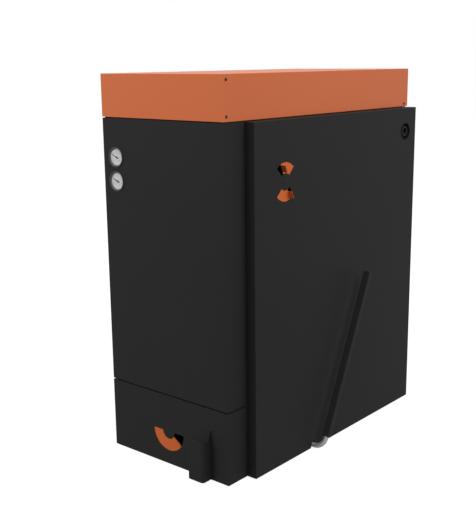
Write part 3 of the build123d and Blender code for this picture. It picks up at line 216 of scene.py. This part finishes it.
# Chamotte: plates beside the fire and the plug under the hatch. Pressed clay, fired, with pale and
# dark grog grains of one to three millimetres in a tan body.
grog_grain = 0.003
chamotte = empty_material("fired_chamotte")
chamotte_place = add(chamotte, "ShaderNodeTexCoord")
grog = add(chamotte, "ShaderNodeTexVoronoi", {
    "Vector": (chamotte_place, "Object"), "Scale": 1 / grog_grain})
grog_mask = add(chamotte, "ShaderNodeValToRGB", {"Fac": (grog, "Distance")})
grog_mask.color_ramp.elements[0].position = 0.1
grog_mask.color_ramp.elements[0].color = linear("8E6A49")
grog_mask.color_ramp.elements[1].position = 0.45
grog_mask.color_ramp.elements[1].color = linear("CBA57E")
clay_gloss = add(chamotte, "ShaderNodeMapRange", {
    "Value": (grog, "Distance"), "To Min": 0.82, "To Max": 0.96})
clay_relief = add(chamotte, "ShaderNodeBump", {
    "Height": (grog, "Distance"), "Strength": 0.4, "Distance": 0.0005})
clay_surface = add(chamotte, "ShaderNodeBsdfPrincipled", {
    "Base Color": (grog_mask, "Color"), "Roughness": (clay_gloss, "Result"),
    "Normal": (clay_relief, "Normal")})
add(chamotte, "ShaderNodeOutputMaterial", {"Surface": (clay_surface, "BSDF")})
dress(chamotte, "chamotte_plates", "fuel_hatch_plug")

# Insulation: mineral wool boards behind the panels, in the door and under the cover. Spun stone
# fibres lie flat in the board and show as fine streaks in a khaki mat.
wool_tuft = 0.012
wool = empty_material("mineral_wool")
wool_place = add(wool, "ShaderNodeTexCoord")
wool_stretch = add(wool, "ShaderNodeMapping", {
    "Vector": (wool_place, "Object"), "Scale": (1.0, 1.0, 6.0)})
wool_fibre = add(wool, "ShaderNodeTexNoise", {
    "Vector": (wool_stretch, "Vector"), "Scale": 1 / wool_tuft, "Detail": 9.0, "Roughness": 0.75,
    "Distortion": 1.5})
wool_tone = add(wool, "ShaderNodeMix", {
    0: (wool_fibre, "Fac"), "A": linear("8E7E4C"), "B": linear("CDBE8C")}, data_type="RGBA")
wool_gloss = add(wool, "ShaderNodeMapRange", {
    "Value": (wool_fibre, "Fac"), "To Min": 0.88, "To Max": 1.0})
wool_relief = add(wool, "ShaderNodeBump", {
    "Height": (wool_fibre, "Fac"), "Strength": 0.8, "Distance": 0.002})
wool_surface = add(wool, "ShaderNodeBsdfPrincipled", {
    "Base Color": (wool_tone, "Result"), "Roughness": (wool_gloss, "Result"),
    "Specular IOR Level": 0.2, "Normal": (wool_relief, "Normal")})
add(wool, "ShaderNodeOutputMaterial", {"Surface": (wool_surface, "BSDF")})
dress(wool, "casing_insulation", "cover_insulation", "door_insulation")

# Sealing rope: glass fibre, braided and pressed into a flat strip round each door. The braid shows
# as crossing ribs about three millimetres apart.
rope_rib = 0.003
rope_turn = 0.8
wave_pitch = 0.314  # how far apart the ribs of a wave texture are at a scale of 1
rope = empty_material("braided_glass_rope")
rope_place = add(rope, "ShaderNodeTexCoord")
rope_rise = add(rope, "ShaderNodeMapping", {
    "Vector": (rope_place, "Object"), "Rotation": (rope_turn, rope_turn, rope_turn)})
rope_fall = add(rope, "ShaderNodeMapping", {
    "Vector": (rope_place, "Object"), "Rotation": (-rope_turn, -rope_turn, rope_turn)})
rope_ribs = [
    add(rope, "ShaderNodeTexWave", {
        "Vector": (strand, "Vector"), "Scale": wave_pitch / rope_rib, "Distortion": 0.5})
    for strand in (rope_rise, rope_fall)]
rope_braid = add(rope, "ShaderNodeMath", {
    0: (rope_ribs[0], "Fac"), 1: (rope_ribs[1], "Fac")}, operation="MULTIPLY")
rope_tone = add(rope, "ShaderNodeMix", {
    0: (rope_braid, 0), "A": linear("A9A497"), "B": linear("DDD9CD")}, data_type="RGBA")
rope_gloss = add(rope, "ShaderNodeMapRange", {
    "Value": (rope_braid, 0), "To Min": 0.95, "To Max": 0.8})
rope_relief = add(rope, "ShaderNodeBump", {
    "Height": (rope_braid, 0), "Strength": 0.7, "Distance": 0.0008})
rope_surface = add(rope, "ShaderNodeBsdfPrincipled", {
    "Base Color": (rope_tone, "Result"), "Roughness": (rope_gloss, "Result"),
    "Normal": (rope_relief, "Normal")})
add(rope, "ShaderNodeOutputMaterial", {"Surface": (rope_surface, "BSDF")})
dress(rope, "door_seal", "fuel_hatch_seal", "cleaning_seal")

# Rubber: the buffers under the cover's front edge and the boot round the side socket, moulded from
# black rubber. Matt, with the faint bloom that the sulphur leaves on it.
bloom_patch = 0.006
rubber = empty_material("moulded_black_rubber")
rubber_place = add(rubber, "ShaderNodeTexCoord")
rubber_bloom = add(rubber, "ShaderNodeTexNoise", {
    "Vector": (rubber_place, "Object"), "Scale": 1 / bloom_patch, "Detail": 5.0})
rubber_tone = add(rubber, "ShaderNodeMix", {
    0: (rubber_bloom, "Fac"), "A": linear("0C0C0C"), "B": linear("141413")}, data_type="RGBA")
rubber_gloss = add(rubber, "ShaderNodeMapRange", {
    "Value": (rubber_bloom, "Fac"), "To Min": 0.7, "To Max": 0.9})
rubber_relief = add(rubber, "ShaderNodeBump", {
    "Height": (rubber_bloom, "Fac"), "Strength": 0.2, "Distance": 0.0003})
rubber_surface = add(rubber, "ShaderNodeBsdfPrincipled", {
    "Base Color": (rubber_tone, "Result"), "Roughness": (rubber_gloss, "Result"),
    "Specular IOR Level": 0.1, "Normal": (rubber_relief, "Normal")})
add(rubber, "ShaderNodeOutputMaterial", {"Surface": (rubber_surface, "BSDF")})
dress(rubber, "cover_buffers", "socket_boot")


# Casing panels: 1.5 mm steel sheet, folded into trays on a press brake and powder coated black, as
# the rails, door brackets and side socket are. The upper front panel stands on a shelf in the seam,
# and the side panels stand proud of it. The coat looks dark, satin and even.
def powder_coat(name, colour, shade, roughness, specular):
    """A sprayed and baked polyester coat: satin, a little cloudy, with a faint orange peel."""
    peel_swell = 0.003
    peel_gloss = 0.06
    cloud_span = 0.3
    grit = 0.0006  # coarser than the pigment, so that it shows
    coat = empty_material(name)
    place = add(coat, "ShaderNodeTexCoord")
    cloud = add(coat, "ShaderNodeTexNoise", {
        "Vector": (place, "Object"), "Scale": 1 / cloud_span, "Detail": 4.0, "Roughness": 0.55})
    speck = add(coat, "ShaderNodeTexNoise", {
        "Vector": (place, "Object"), "Scale": 1 / grit, "Detail": 1.0})
    mottle = add(coat, "ShaderNodeMix", {0: 0.25, 2: (cloud, "Fac"), 3: (speck, "Fac")})
    tone = add(coat, "ShaderNodeMix", {
        0: (mottle, 0), "A": linear(colour), "B": linear(shade)}, data_type="RGBA")
    swell = add(coat, "ShaderNodeTexNoise", {
        "Vector": (place, "Object"), "Scale": 1 / peel_swell, "Detail": 2.0})
    gloss = add(coat, "ShaderNodeMapRange", {
        "Value": (swell, "Fac"), "To Min": roughness - peel_gloss,
        "To Max": roughness + peel_gloss})
    relief = add(coat, "ShaderNodeBump", {
        "Height": (swell, "Fac"), "Strength": 0.12, "Distance": 0.0002})
    surface = add(coat, "ShaderNodeBsdfPrincipled", {
        "Base Color": (tone, "Result"), "Metallic": 0.0, "Roughness": (gloss, "Result"), "IOR": 1.5,
        "Specular IOR Level": specular, "Normal": (relief, "Normal")})
    add(coat, "ShaderNodeOutputMaterial", {"Surface": (surface, "BSDF")})
    return coat


def finished_mesh(name, shape):
    """The mesh of a shape that needs no more work."""
    mesh = bpy.data.meshes.new(name)
    shape.to_mesh(mesh)
    shape.free()
    return mesh


def place_piece(name, mesh, material, body, node=None):
    """Puts a mesh in the scene, riding on a body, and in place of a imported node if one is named."""
    mesh.materials.clear()
    mesh.materials.append(material)
    piece = put_in_scene(name, mesh)
    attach(piece, body)
    if node:
        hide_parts(node)


def pressed_copy(node, material, body, fold=0.0015, blank_mesh=None):
    """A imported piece, or a sharp mesh in its place, with rounded folds and broken cut edges."""
    cut = 0.0003
    broad_face = 0.004
    corner = math.radians(40)
    flat = math.radians(0.5)
    weld_gap = 1e-6
    fold_steps = 3
    most_weight = 100
    shape = bmesh.new()
    shape.from_mesh(blank_mesh or nodes[node].data)
    bmesh.ops.remove_doubles(shape, verts=shape.verts, dist=weld_gap)
    bmesh.ops.dissolve_limit(shape, angle_limit=flat, verts=shape.verts, edges=shape.edges)
    # A fold lies between two broad faces. Any other corner is a cut edge.
    weight = shape.edges.layers.float.new("bevel_weight_edge")
    for edge in shape.edges:
        if len(edge.link_faces) == 2 and edge.calc_face_angle(0) > corner:
            broad = all(2 * face.calc_area() / face.calc_perimeter() > broad_face
                        for face in edge.link_faces)
            edge[weight] = 1.0 if broad else cut / fold
    sharp_mesh = finished_mesh(node, shape)
    sharp_mesh.normals_split_custom_set([(0, 0, 0)] * len(sharp_mesh.loops))
    sharp_mesh.shade_smooth()
    blank = put_in_scene(node + "_blank", sharp_mesh)
    rounding = blank.modifiers.new("rounding", "BEVEL")
    rounding.limit_method = "WEIGHT"
    rounding.width = fold
    rounding.segments = fold_steps
    flattening = blank.modifiers.new("flattening", "WEIGHTED_NORMAL")
    flattening.mode = "FACE_AREA"
    flattening.weight = most_weight
    graph = bpy.context.evaluated_depsgraph_get()
    mesh = bpy.data.meshes.new_from_object(blank.evaluated_get(graph))
    bpy.data.objects.remove(blank)
    place_piece(node + "_pressed", mesh, material, body, node)


black_coat = powder_coat("black_powder_coat", "292929", "2D2D2D", 0.5, 0.03)
dress(black_coat, "rear_panel", "top_deck", "base_rails", "door_brackets", "side_socket")
for panel in ("front_panel", "side_panel_right", "side_panel_left"):
    pressed_copy(panel, black_coat, "casing")


# Ash door: a folded and coated skin over an insulated inner plate. It swings on two 8 mm pins on
# the left. Its handle is an angle of 2 mm sheet, spot welded on by its right side, that the fingers
# pull from inside.
def angle_handle():
    """A front plate with a free left edge, bent into a right side that rises to an ear."""
    left, right, door_y = 0.120, 0.1775, -0.49
    reach, sheet, bend, bend_steps = 0.0395, 0.002, 0.009, 8
    foot, rim = 0.007, 0.136
    ear_foot, ear_blend, ear_tip, ear_top, blend_steps = 0.016, 0.005, 0.004, 0.163, 5
    ear_slope = (ear_top - rim) / (ear_foot - ear_tip)

    def edge_height(distance):
        """How high the side's upper edge is, this far out from the door."""
        if abs(distance - ear_foot) < ear_blend:
            return rim + ear_slope * (ear_foot + ear_blend - distance) ** 2 / (4 * ear_blend)
        return max(rim, min(ear_top, rim + ear_slope * (ear_foot - distance)))

    stations = [((left, -reach), (left, sheet - reach))]
    for i in range(bend_steps + 1):
        turn = math.radians(-90 + i * 90 / bend_steps)
        stations.append([
            (right - bend + radius * math.cos(turn), bend - reach + radius * math.sin(turn))
            for radius in (bend, bend - sheet)])
    ear_curve = [ear_foot + ear_blend * (1 - i / blend_steps) for i in range(2 * blend_steps + 1)]
    for distance in ear_curve + [ear_tip, 0]:
        stations.append(((right, -distance), (right - sheet, -distance)))
    shape = bmesh.new()
    columns = []
    for outer, inner in stations:
        height = edge_height(-outer[1])
        columns.append([shape.verts.new((x, door_y + y, z)) for x, y, z in (
            (*outer, foot), (*outer, height), (*inner, height), (*inner, foot))])
    for column, following in zip(columns, columns[1:]):
        for i in range(4):
            j = (i + 1) % 4
            shape.faces.new((column[i], column[j], following[j], following[i]))
    shape.faces.new(columns[0])
    shape.faces.new(columns[-1])
    bmesh.ops.recalc_face_normals(shape, faces=shape.faces)
    return finished_mesh("angle_handle", shape)


pressed_copy("door_skin", black_coat, "ash_door")
pressed_copy("door_handle", black_coat, "ash_door", fold=0.0008,
             blank_mesh=angle_handle())

# Air plates: coated half discs behind the slots of the ash door and the right panel. A finger on
# the bent edge turns them to let more or less air to the fire.
air_coat = powder_coat("orange_powder_coat_air_plates", "D46934", "CB6431", 0.45, 0.15)
pressed_copy("front_air_disc", air_coat, "front_air_plate", fold=0.0005)
pressed_copy("side_air_disc", air_coat, "side_air_plate", fold=0.0005)

# Lever shaft: a round steel rod across the boiler, bent up beside it. Cold drawn and zinc plated: a
# bright grey metal with a faint spangle, dulled a little by handling.
spangle = 0.004
handling_cloud = 0.03
zinc = empty_material("zinc_plated_steel")
zinc_place = add(zinc, "ShaderNodeTexCoord")
zinc_spangle = add(zinc, "ShaderNodeTexVoronoi", {
    "Vector": (zinc_place, "Object"), "Scale": 1 / spangle})
zinc_cloud = add(zinc, "ShaderNodeTexNoise", {
    "Vector": (zinc_place, "Object"), "Scale": 1 / handling_cloud, "Detail": 5.0})
zinc_tone = add(zinc, "ShaderNodeMix", {
    0: (zinc_cloud, "Fac"), "A": linear("989A9C"), "B": linear("B2B3B2")}, data_type="RGBA")
zinc_gloss = add(zinc, "ShaderNodeMapRange", {
    "Value": (zinc_spangle, "Distance"), "To Min": 0.32, "To Max": 0.46})
zinc_relief = add(zinc, "ShaderNodeBump", {
    "Height": (zinc_cloud, "Fac"), "Strength": 0.1, "Distance": 0.0003})
zinc_surface = add(zinc, "ShaderNodeBsdfPrincipled", {
    "Base Color": (zinc_tone, "Result"), "Metallic": 0.35, "Roughness": (zinc_gloss, "Result"),
    "Normal": (zinc_relief, "Normal")})
add(zinc, "ShaderNodeOutputMaterial", {"Surface": (zinc_surface, "BSDF")})
dress(zinc, "grate_shaft", "shaft_bearings", "door_catch", "cover_hinges_fixed",
      "cover_hinges_moving", "hinge_pins", "cleaning_fasteners", "fuel_hatch_handle")

# Lever grip: a flat steel bar on the rod's end, powder coated black. Hands have worn the coat a
# little smoother and glossier than the panels'.
grip_coat = powder_coat("black_powder_coat_lever", "2B2B2B", "2F2F2F", 0.45, 0.03)
pressed_copy("lever_bar", grip_coat, "lever", fold=0.0008)

# Top cover: a five-sided box folded from 1.5 mm sheet and coated orange. Its corners are screwed to
# inner flanges, and it lifts on two hinges at the rear.
orange_coat = powder_coat("orange_powder_coat", "CA6B40", "C6673D", 0.42, 0.18)
pressed_copy("top_cover", orange_coat, "cover", fold=0.0006)


# Screws: hexagon sheet-metal screws with a pressed washer, blackened, at the cover's corners and
# down the rear panel. The oxide is dark and satin, with paler patches where it is thin.
def screw_head(shape, place, outward):
    """One hexagon head on its washer, standing on a face that looks outward."""
    across, height, chamfer, head_sides = 0.0065, 0.0016, 0.0006, 6
    washer, washer_height, washer_sides = 0.0046, 0.0005, 24
    rim = across / 2 / math.cos(math.pi / head_sides)
    rings = [(washer, 0, washer_sides), (washer, washer_height, washer_sides),
             (rim, washer_height, head_sides), (rim, height - chamfer / 2, head_sides),
             (rim - chamfer, height, head_sides)]
    side = outward.orthogonal().normalized()
    other = outward.cross(side)
    rows = []
    for radius, rise, count in rings:
        row = []
        for i in range(count):
            turn = 2 * math.pi * i / count
            spoke = radius * (math.cos(turn) * side + math.sin(turn) * other)
            row.append(shape.verts.new(place + outward * rise + spoke))
        rows.append(row)
    for low, high in ((rows[0], rows[1]), (rows[2], rows[3]), (rows[3], rows[4])):
        for i in range(len(low)):
            j = (i + 1) % len(low)
            shape.faces.new((low[i], low[j], high[j], high[i]))
    shape.faces.new(rows[0][::-1])
    shape.faces.new(rows[1])
    shape.faces.new(rows[4])


oxide_patch = 0.0015
blackened = empty_material("blackened_steel")
blackened_place = add(blackened, "ShaderNodeTexCoord")
oxide = add(blackened, "ShaderNodeTexNoise", {
    "Vector": (blackened_place, "Object"), "Scale": 1 / oxide_patch, "Detail": 4.0})
oxide_tone = add(blackened, "ShaderNodeMix", {
    0: (oxide, "Fac"), "A": linear("1C1C1D"), "B": linear("343332")}, data_type="RGBA")
oxide_gloss = add(blackened, "ShaderNodeMapRange", {
    "Value": (oxide, "Fac"), "To Min": 0.35, "To Max": 0.55})
oxide_relief = add(blackened, "ShaderNodeBump", {
    "Height": (oxide, "Fac"), "Strength": 0.15, "Distance": 0.0001})
oxide_surface = add(blackened, "ShaderNodeBsdfPrincipled", {
    "Base Color": (oxide_tone, "Result"), "Metallic": 0.8, "Roughness": (oxide_gloss, "Result"),
    "Normal": (oxide_relief, "Normal")})
add(blackened, "ShaderNodeOutputMaterial", {"Surface": (oxide_surface, "BSDF")})

cover_low, cover_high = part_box("top_cover")
edge_inset = 0.010
rear_inset = 0.022
side_heads = ((cover_low.y + edge_inset, 1.185), (cover_low.y + edge_inset, 1.086),
              (cover_high.y - rear_inset, 1.081))
rear_heads = (1.185, 1.143, 1.102)
cover_heads = bmesh.new()
for side in (-1, 1):
    for y, z in side_heads:
        screw_head(cover_heads, Vector((side * cover_high.x, y, z)), Vector((side, 0, 0)))
    for z in rear_heads:
        place = Vector((side * (cover_high.x - edge_inset), cover_high.y, z))
        screw_head(cover_heads, place, Vector((0, 1, 0)))
cover_head_mesh = finished_mesh("cover_screw_heads", cover_heads)
place_piece("cover_screw_heads", cover_head_mesh, blackened, "cover", "cover_screws")
dress(blackened, "casing_screws")


# Gauges: pressed steel cases with a rolled bezel, a white dial and a black pointer under flat
# glass. The two stems screw into the water jacket. The bezel is lacquered black: dark, with a soft
# highlight round it.
def turned(shape, profile, centre):
    """Turns a closed profile of (radius, rise) points about an axis that faces the front."""
    count = 64
    rows = []
    for i in range(count):
        turn = 2 * math.pi * i / count
        row = []
        for radius, rise in profile:
            spoke = Vector((radius * math.cos(turn), -rise, radius * math.sin(turn)))
            row.append(shape.verts.new(centre + spoke))
        rows.append(row)
    for i in range(count):
        row, next_row = rows[i], rows[(i + 1) % count]
        for j in range(len(profile)):
            k = (j + 1) % len(profile)
            shape.faces.new((row[j], row[k], next_row[k], next_row[j]))


def gauge_height(height):
    """The height of the gauge that a point at this height is part of."""
    return min(gauge_heights, key=lambda middle: abs(middle - height))


gauge_x = -0.19
gauge_heights = (0.952, 0.879)
front_y = -0.49
dial_y = -0.4885
gauge_radius = 0.031
bezel_crown = 0.003
dial_radius = 0.0245
glass_radius = 0.0268
case_radius = 0.026
case_depth = 0.032
case_back = 0.0015
dial_seat = 0.0012
stem_bore = 0.004
stem_radius = 0.010
stem_end = 0.1065
lacquer_cloud = 0.008
bezel = empty_material("black_lacquered_bezel")
bezel_place = add(bezel, "ShaderNodeTexCoord")
bezel_cloud = add(bezel, "ShaderNodeTexNoise", {
    "Vector": (bezel_place, "Object"), "Scale": 1 / lacquer_cloud, "Detail": 4.0})
bezel_tone = add(bezel, "ShaderNodeMix", {
    0: (bezel_cloud, "Fac"), "A": linear("161616"), "B": linear("1D1D1D")}, data_type="RGBA")
bezel_gloss = add(bezel, "ShaderNodeMapRange", {
    "Value": (bezel_cloud, "Fac"), "To Min": 0.16, "To Max": 0.28})
bezel_relief = add(bezel, "ShaderNodeBump", {
    "Height": (bezel_cloud, "Fac"), "Strength": 0.05, "Distance": 0.0002})
bezel_surface = add(bezel, "ShaderNodeBsdfPrincipled", {
    "Base Color": (bezel_tone, "Result"), "IOR": 1.5, "Roughness": (bezel_gloss, "Result"),
    "Normal": (bezel_relief, "Normal")})
add(bezel, "ShaderNodeOutputMaterial", {"Surface": (bezel_surface, "BSDF")})
roll = bezel_crown / 2
roll_steps = 8
bezel_profile = [(gauge_radius, 0)]
for middle, start in ((gauge_radius - roll, 0), (glass_radius + roll, 90)):
    for i in range(roll_steps + 1):
        turn = math.radians(start + i * 90 / roll_steps)
        bezel_profile.append((middle + roll * math.cos(turn), roll + roll * math.sin(turn)))
bezel_profile += [(dial_radius, -dial_seat), (dial_radius, case_back - case_depth),
                  (stem_bore, case_back - case_depth), (stem_bore, -stem_end),
                  (stem_radius, -stem_end), (stem_radius, -case_depth),
                  (case_radius, -case_depth), (case_radius, 0)]
cases = bmesh.new()
for z in gauge_heights:
    turned(cases, bezel_profile, Vector((gauge_x, front_y, z)))
bmesh.ops.recalc_face_normals(cases, faces=cases.faces)
case_mesh = finished_mesh("gauge_cases_rolled", cases)
case_mesh.shade_smooth()
case_corner = math.radians(35)
case_mesh.set_sharp_from_angle(angle=case_corner)
place_piece("gauge_cases_rolled", case_mesh, bezel, "casing", "gauge_cases")
# Inside, the wall between glass and dial is sprayed grey. The grey is made paler than the bezel as a
# painted highlight, for the light that falls on the wall, and shows at the left as a paler crescent.
# The grain of the spray is drawn coarse enough to show.
spray_grain = 0.0008
lining = empty_material("grey_case_lining_painted_highlight")
lining_place = add(lining, "ShaderNodeTexCoord")
lining_spray = add(lining, "ShaderNodeTexNoise", {
    "Vector": (lining_place, "Object"), "Scale": 1 / spray_grain, "Detail": 2.0})
# This grey is the lining's own spray and also painted highlight for the light on the inner wall.
lining_painted_highlight_tone = add(lining, "ShaderNodeMix", {
    0: (lining_spray, "Fac"), "A": linear("5C5C5B"), "B": linear("676766")}, data_type="RGBA")
lining_gloss = add(lining, "ShaderNodeMapRange", {
    "Value": (lining_spray, "Fac"), "To Min": 0.5, "To Max": 0.65})
lining_surface = add(lining, "ShaderNodeBsdfPrincipled", {
    "Base Color": (lining_painted_highlight_tone, "Result"), "Roughness": (lining_gloss, "Result")})
add(lining, "ShaderNodeOutputMaterial", {"Surface": (lining_surface, "BSDF")})
case_mesh.materials.append(lining)
hair = 0.00001  # more than a corner of the mesh is rounded by
for face in case_mesh.polygons:
    corners = [case_mesh.vertices[i].co for i in face.vertices]
    reach = [math.hypot(co.x - gauge_x, co.z - gauge_height(co.z)) for co in corners]
    if max(reach) < glass_radius + hair and min(reach) > dial_radius - hair:
        face.material_index = 1

# Dials: aluminium discs, stove enamelled white and printed with a black scale and plain numbers.
# The enamel is smooth, with a faint warm cloud, and the ink is flatter than it.
enamel_cloud_span = 0.012
ink_grain_span = 0.0004
enamel = empty_material("white_dial_enamel")
enamel_place = add(enamel, "ShaderNodeTexCoord")
enamel_cloud = add(enamel, "ShaderNodeTexNoise", {
    "Vector": (enamel_place, "Object"), "Scale": 1 / enamel_cloud_span, "Detail": 3.0})
enamel_tone = add(enamel, "ShaderNodeMix", {
    0: (enamel_cloud, "Fac"), "A": linear("DCDCDA"), "B": linear("E4E4E2")}, data_type="RGBA")
enamel_gloss = add(enamel, "ShaderNodeMapRange", {
    "Value": (enamel_cloud, "Fac"), "To Min": 0.4, "To Max": 0.55})
enamel_surface = add(enamel, "ShaderNodeBsdfPrincipled", {
    "Base Color": (enamel_tone, "Result"), "Roughness": (enamel_gloss, "Result")})
add(enamel, "ShaderNodeOutputMaterial", {"Surface": (enamel_surface, "BSDF")})
dress(enamel, "gauge_dials")
ink = empty_material("black_dial_ink")
ink_place = add(ink, "ShaderNodeTexCoord")
ink_grain = add(ink, "ShaderNodeTexNoise", {
    "Vector": (ink_place, "Object"), "Scale": 1 / ink_grain_span, "Detail": 2.0})
ink_tone = add(ink, "ShaderNodeMix", {
    0: (ink_grain, "Fac"), "A": linear("1A1A1A"), "B": linear("2C2C2C")}, data_type="RGBA")
ink_gloss = add(ink, "ShaderNodeMapRange", {
    "Value": (ink_grain, "Fac"), "To Min": 0.5, "To Max": 0.7})
ink_surface = add(ink, "ShaderNodeBsdfPrincipled", {
    "Base Color": (ink_tone, "Result"), "Roughness": (ink_gloss, "Result")})
add(ink, "ShaderNodeOutputMaterial", {"Surface": (ink_surface, "BSDF")})
scale_radius = 0.0205
scale_start = math.radians(225)
scale_sweep = math.radians(270)
print_lift = 0.0001
minor_tick = 0.0016
major_tick = 0.003
tick_width = 0.00035
minor_width = 0.6 * tick_width
ticks_per_number = 5
arc_width = 0.0004
arc_steps = 72
number_size = 0.0042
number_inset = 0.0062


def on_print(radius, step, steps, height):
    """The place on a dial at this radius, so many steps along its scale."""
    turn = scale_start - scale_sweep * step / steps
    return Vector((gauge_x + radius * math.cos(turn), dial_y - print_lift,
                   height + radius * math.sin(turn)))


for dial, z, top_value, numbers in (("thermometer", gauge_heights[0], 120, 6),
                                    ("pressure", gauge_heights[1], 4, 4)):
    scale = bmesh.new()
    ticks = numbers * ticks_per_number
    for i in range(ticks + 1):
        turn = scale_start - scale_sweep * i / ticks
        outward = Vector((math.cos(turn), 0, math.sin(turn)))
        across = Vector((-outward.z, 0, outward.x))
        major = i % ticks_per_number == 0
        length, width = (major_tick, tick_width) if major else (minor_tick, minor_width)
        centre = Vector((gauge_x, dial_y - print_lift, z))
        corners = [centre + outward * (scale_radius - a * length) + across * b * width / 2
                   for a, b in ((0, -1), (0, 1), (1, 1), (1, -1))]
        scale.faces.new([scale.verts.new(corner) for corner in corners])
    arc = [[scale.verts.new(on_print(radius, i, arc_steps, z))
            for radius in (scale_radius, scale_radius + arc_width)] for i in range(arc_steps + 1)]
    for (inner, outer), (next_inner, next_outer) in zip(arc, arc[1:]):
        scale.faces.new((inner, outer, next_outer, next_inner))
    bmesh.ops.recalc_face_normals(scale, faces=scale.faces)
    for i in range(numbers + 1):
        text = bpy.data.curves.new("number", "FONT")
        text.body = str(top_value * i // numbers)
        text.size = number_size
        text.align_x = "CENTER"
        text.align_y = "CENTER"
        holder = bpy.data.objects.new("number", text)
        number = bpy.data.meshes.new_from_object(holder)
        spot = on_print(scale_radius - number_inset, i, numbers, z)
        number.transform(Matrix.Translation(spot) @ Matrix.Rotation(math.radians(90), 4, "X"))
        scale.from_mesh(number)
        bpy.data.objects.remove(holder)
    scale_mesh = finished_mesh(dial + "_scale", scale)
    place_piece(dial + "_scale", scale_mesh, ink, "casing")

# Pointers: stamped aluminium, with a broad tail that balances the tip. They are sprayed black,
# which leaves them even and nearly matt.
pointer_enamel = empty_material("black_pointer_enamel")
pointer_place = add(pointer_enamel, "ShaderNodeTexCoord")
pointer_spray = add(pointer_enamel, "ShaderNodeTexNoise", {
    "Vector": (pointer_place, "Object"), "Scale": 1 / spray_grain, "Detail": 2.0})
pointer_tone = add(pointer_enamel, "ShaderNodeMix", {
    0: (pointer_spray, "Fac"), "A": linear("0E0E0E"), "B": linear("161616")}, data_type="RGBA")
pointer_gloss = add(pointer_enamel, "ShaderNodeMapRange", {
    "Value": (pointer_spray, "Fac"), "To Min": 0.35, "To Max": 0.5})
pointer_surface = add(pointer_enamel, "ShaderNodeBsdfPrincipled", {
    "Base Color": (pointer_tone, "Result"), "Roughness": (pointer_gloss, "Result")})
add(pointer_enamel, "ShaderNodeOutputMaterial", {"Surface": (pointer_surface, "BSDF")})
dress(pointer_enamel, "thermometer_needle", "pressure_needle")

# Gauge glasses: flat drawn glass, 1 mm thick, laid in the bezels with a little play. It is clear,
# with the faint smear that wiping leaves on it.
glass_play = 0.0002
smear_span = 0.01
pane = empty_material("flat_gauge_glass")
pane_place = add(pane, "ShaderNodeTexCoord")
pane_smear = add(pane, "ShaderNodeTexNoise", {
    "Vector": (pane_place, "Object"), "Scale": 1 / smear_span, "Detail": 3.0, "Distortion": 1.0})
pane_gloss = add(pane, "ShaderNodeMapRange", {
    "Value": (pane_smear, "Fac"), "To Min": 0.02, "To Max": 0.08})
pane_surface = add(pane, "ShaderNodeBsdfPrincipled", {
    "Base Color": linear("303030"), "Roughness": (pane_gloss, "Result"), "Alpha": 0.06})
add(pane, "ShaderNodeOutputMaterial", {"Surface": (pane_surface, "BSDF")})
glass_mesh = nodes["gauge_glasses"].data.copy()
glass_spread = (glass_radius - glass_play) / dial_radius
for vert in glass_mesh.vertices:
    gauge_z = gauge_height(vert.co.z)
    vert.co.x = gauge_x + (vert.co.x - gauge_x) * glass_spread
    vert.co.z = gauge_z + (vert.co.z - gauge_z) * glass_spread
place_piece("gauge_glasses_seated", glass_mesh, pane, "casing", "gauge_glasses")
